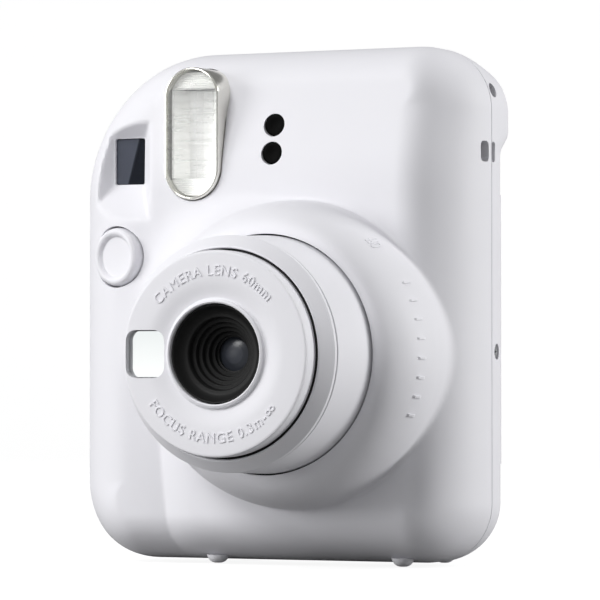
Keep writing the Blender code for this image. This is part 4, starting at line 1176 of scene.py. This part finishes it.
def build_dial():
    """The print counter: a white disc numbered from 10 down to 1, then S."""
    profile = [(0.0, 34.6), (8.0, 34.6), (8.0, 35.8), (0.0, 35.8)]
    dial = turned("counter_wheel", profile, 0.15, (DIAL_X, DIAL_Z), 96)
    show(smooth(dial), "counter_dial", WHITE, ["counter_dial"])
    labels = ["S"] + [str(number) for number in range(10, 0, -1)]
    for index, label in enumerate(labels):
        mesh = text_mesh(f"number_{label}", label, 2.6, 0.03)
        turn = 2 * math.pi * index / len(labels)
        for vert in mesh.vertices:
            along, up = -vert.co.x, vert.co.y + 4.3
            x = along * math.cos(turn) - up * math.sin(turn)
            z = along * math.sin(turn) + up * math.cos(turn)
            vert.co = place(DIAL_X + x, 35.83 + vert.co.z, DIAL_Z + z)
        show(link(f"counter_number_{label}", mesh), "counter_dial", BLACK, ())


def build_screws():
    """Cross-headed screws in the side and the base."""
    side_screws = (("side_screw", 26.0, 50.6, 1.55, (47.8, 51.2)),
                   ("upper_side_screw", 24.9, 112.3, 1.35, (44.5, 47.5)))
    for name, depth, z, radius, reach in side_screws:
        screw = across(name + "_head", circle(depth, z, radius, 40), reach)
        bevel(screw, 0.25)
        arm = 0.62 * radius
        outside = (reach[1] - 0.7, reach[1] + 1)
        boolean(screw, [
            block("cross_a", outside, (depth - arm, depth + arm), (z - 0.2, z + 0.2)),
            block("cross_b", outside, (depth - 0.2, depth + 0.2), (z - arm, z + arm)),
        ])
        show(smooth(screw), "camera_body", STEEL, [name])
    for side, x in (("left", -16.0), ("right", 38.0)):
        screw = upright(f"base_screw_{side}", circle(x, 27.0, 1.55, 40), (1.3, 4.6))
        bevel(screw, 0.25)
        boolean(screw, [
            block("cross_a", (x - 1, x + 1), (26.8, 27.2), (0, 2.0)),
            block("cross_b", (x - 0.2, x + 0.2), (26.0, 28.0), (0, 2.0)),
        ])
        show(smooth(screw), "camera_body", STEEL, [f"bottom_screw_{side}"])


# ---------------------------------------------------------------- pieces seen through open doors

def standing(name, x, depth, profile, steps=64):
    """A round body on a vertical axis, from (radius, height) points."""
    return loft(name, [[place(a, b, z) for a, b in circle(x, depth, radius, steps)] for radius, z in profile])


def build_cells():
    """Two cells with a crimped lower rim, a sleeve step and a raised button on top."""
    for name, depth in (("battery_front", 14.4), ("battery_rear", 28.9)):
        profile = [(5.6, 12.8), (6.5, 12.8), (6.9, 13.1), (7.0, 13.6), (6.8, 14.1), (7.1, 14.4),
                   (7.1, 60.4), (6.9, 60.9), (6.2, 61.2), (6.0, 61.0), (3.1, 61.0), (2.8, 61.2),
                   (2.7, 62.5), (2.4, 62.8), (0.6, 62.8)]
        cell = standing(name + "_cell", CELL_X, depth, profile)
        show(smooth(cell), "camera_body", SLOT_MATERIALS["battery_sleeve"], [name])
    strip = upright("contact_strip", rounded(CELL_X, 21.75, 12.0, 24.5, 2.4), (63.1, 63.7))
    slots = []
    for index, depth in enumerate((11.8, 17.0, 26.3, 31.5)):
        slots.append(upright(f"contact_slot_{index}", rounded(CELL_X, depth, 7.0, 1.4, 0.6), (62.0, 65.0)))
    boolean(strip, slots)
    show(smooth(bevel(strip, 0.12)), "camera_body", SPRING, ["battery_contact_top"])


def build_pack():
    """The film pack: a case with a ribbed back, two pressure-spring openings and a claw slot."""
    pack = extruded("film_pack_case", rounded(PACK_X, PACK_Z, 61.4, 83.6, 2.4), (16.0, 33.4))
    bevel(pack, 0.5)
    cuts = [
        extruded("pack_panel", rounded(PACK_X, PACK_Z, 52.0, 72.0, 3.0), (32.8, 36.0)),
        extruded("pack_window", rounded(PACK_X, PACK_Z + 1.4, 46.4, 62.4, 1.0), (10.0, 17.2)),
        block("pack_claw_slot", (-20.0, -16.9), (19.0, 22.5), (24.0, 40.0)),
    ]
    for index, x in enumerate((-2.0, 26.0)):
        cuts.append(extruded(f"pack_opening_{index}", rounded(x, PACK_Z, 9.0, 46.0, 2.0), (31.4, 36.0)))
    boolean(pack, cuts)
    ribs = []
    for index in range(9):
        height = 28.0 + 7.0 * index
        ribs.append(block(f"pack_rib_{index}", (8.0, 16.0), (32.4, 33.2), (height, height + 1.2)))
    boolean(pack, ribs, "UNION")
    show(smooth(pack), "camera_body", BLACK, ["film_pack"])
    sheet = extruded("film_sheet", rounded(PACK_X, PACK_Z, 54.0, 82.0, 1.0), (17.6, 18.0))
    show(smooth(sheet), "camera_body", INK, ())


def build_flap():
    """The exit flap: a thin lid with rounded ends and a grooved top."""
    flap = upright("exit_flap_lid", rounded(PACK_X, 26.6, 56.8, 3.4, 0.8), (119.0, 119.8))
    bevel(flap, 0.12)
    grooves = []
    for index in range(3):
        depth = 25.6 + 0.8 * index
        grooves.append(block(f"flap_groove_{index}", (-14.0, 38.0), (depth, depth + 0.3), (119.6, 121.0)))
    boolean(flap, grooves)
    show(smooth(flap), "exit_flap", INK, ["exit_flap"])


def build_claw():
    """The claw that pushes a print out: a slotted strip with a hooked tip."""
    outline = [(17.0, 30.0), (19.2, 30.0), (21.0, 31.6), (21.0, 33.0), (19.6, 33.4), (19.6, 60.6),
               (18.2, 62.0), (17.0, 62.0)]
    claw = across("film_claw_strip", outline, (-22.1, -21.1))
    slots = []
    for index, z in enumerate((41.0, 54.0)):
        slots.append(across(f"claw_slot_{index}", rounded(18.3, z, 0.9, 8.0, 0.4), (-24, -19)))
    boolean(claw, slots)
    show(smooth(bevel(claw, 0.1)), "film_claw", STEEL, ["film_claw"])


def build_pins():
    """The two hinge pins, with rounded ends."""
    pins = (("door_hinge_pin", HINGE, 0.65, 21.5, 90.5),
            ("battery_door_pin", BATTERY_HINGE, 0.4, 19.5, 62.5))
    for name, (x, depth), radius, low, high in pins:
        tip = 0.5 * radius
        profile = [(0.4 * radius, low), (0.8 * radius, low + 0.3 * tip), (radius, low + tip),
                   (radius, high - tip), (0.8 * radius, high - 0.3 * tip), (0.4 * radius, high)]
        show(smooth(standing(name + "_rod", x, depth, profile, 24)), "camera_body", STEEL, [name])


def build_inside():
    build_cells()
    build_pack()
    build_flap()
    build_claw()
    build_pins()


# ---------------------------------------------------------------- stage

def floor_material():
    """White paper that the camera sees nearly shadowless, and that throws little light back up."""
    graph = Graph("studio_paper")
    tooth = graph.noise(700.0, 4.0)
    seen = graph.add("ShaderNodeLightPath").outputs["Is Camera Ray"]
    glow = graph.between(seen, 0.0, 0.9)
    graph.set(Base_Color=graph.mix(seen, grey(0.28), graph.mix(tooth, grey(0.22), grey(0.24))))
    graph.set(Roughness=graph.between(tooth, 0.85, 0.95), Emission_Strength=glow)
    graph.set(Emission_Color=(1.0, 1.0, 1.0, 1.0), Specular_IOR_Level=0.1)
    return graph.material


def build_floor():
    """A sheet of paper that runs flat under the camera and curves up behind it."""
    half, rise, bend = 3.0, 2.5, 0.9
    profile = [(-3.0, 0.0), (1.2, 0.0)]
    for step in range(1, 13):
        angle = math.radians(90 * step / 12)
        profile.append((1.2 + bend * math.sin(angle), bend * (1 - math.cos(angle))))
    profile.append((1.2 + bend, rise))
    work = bmesh.new()
    lines = [[work.verts.new((x, y, z)) for x in (-half, half)] for y, z in profile]
    for lower, upper in zip(lines, lines[1:]):
        work.faces.new((lower[0], lower[1], upper[1], upper[0]))
    floor = from_bmesh("studio_floor", work)
    floor.data.materials.append(floor_material())
    floor.data.shade_smooth()


def area_light(name, spot, target, size, power, colour=(1, 1, 1)):
    data = bpy.data.lights.new(name, "AREA")
    data.shape = "RECTANGLE"
    data.size, data.size_y = size
    data.energy = power
    data.color = colour
    light = bpy.data.objects.new(name, data)
    light.location = spot
    light.rotation_euler = (Vector(target) - Vector(spot)).to_track_quat("-Z", "Y").to_euler()
    bpy.context.scene.collection.objects.link(light)
    return light


def build_lights():
    """A soft light at the upper left, a weaker one at the right, and little light from anywhere else."""
    world = bpy.data.worlds.new("studio")
    bpy.context.scene.world = world
    world.use_nodes = True
    nodes, links = world.node_tree.nodes, world.node_tree.links
    path = nodes.new("ShaderNodeLightPath")
    strength = nodes.new("ShaderNodeMapRange")
    strength.inputs["To Min"].default_value = 0.30
    strength.inputs["To Max"].default_value = 1.0
    links.new(path.outputs["Is Camera Ray"], strength.inputs["Value"])
    links.new(strength.outputs["Result"], nodes["Background"].inputs["Strength"])
    nodes["Background"].inputs["Color"].default_value = (0.98, 0.99, 1.0, 1.0)
    middle_point = (0.0, 0.0, 0.06)
    area_light("key", (-0.42, -1.05, 1.0), middle_point, (0.7, 0.7), 12.5)
    area_light("left", (-1.25, -0.8, 0.35), middle_point, (0.6, 0.6), 9.0)
    area_light("side", (1.1, 0.75, 0.35), middle_point, (0.4, 0.8), 15.0)
    area_light("card", (-1.0, -1.9, 0.15), middle_point, (1.0, 0.7), 2.0)
    bpy.context.scene.view_settings.view_transform = "Standard"


def build_camera():
    """A long lens a metre away, low and to the right, as a product picture is taken."""
    data = bpy.data.cameras.new("camera")
    data.sensor_width = 36.0
    data.lens = 243.0
    camera = bpy.data.objects.new("camera", data)
    camera.location = (0.4363, -0.8504, 0.0428)
    camera.rotation_euler = (math.radians(90 + 1.2), 0.0, math.radians(26.5))
    bpy.context.scene.collection.objects.link(camera)
    bpy.context.scene.camera = camera


def main():
    dress_cad_nodes()
    build_front_cover()
    build_rear_pieces()
    build_lens()
    build_button()
    build_flash()
    build_sensors()
    build_finder()
    build_back()
    build_screws()
    build_inside()
    build_floor()
    build_lights()
    build_camera()


main()
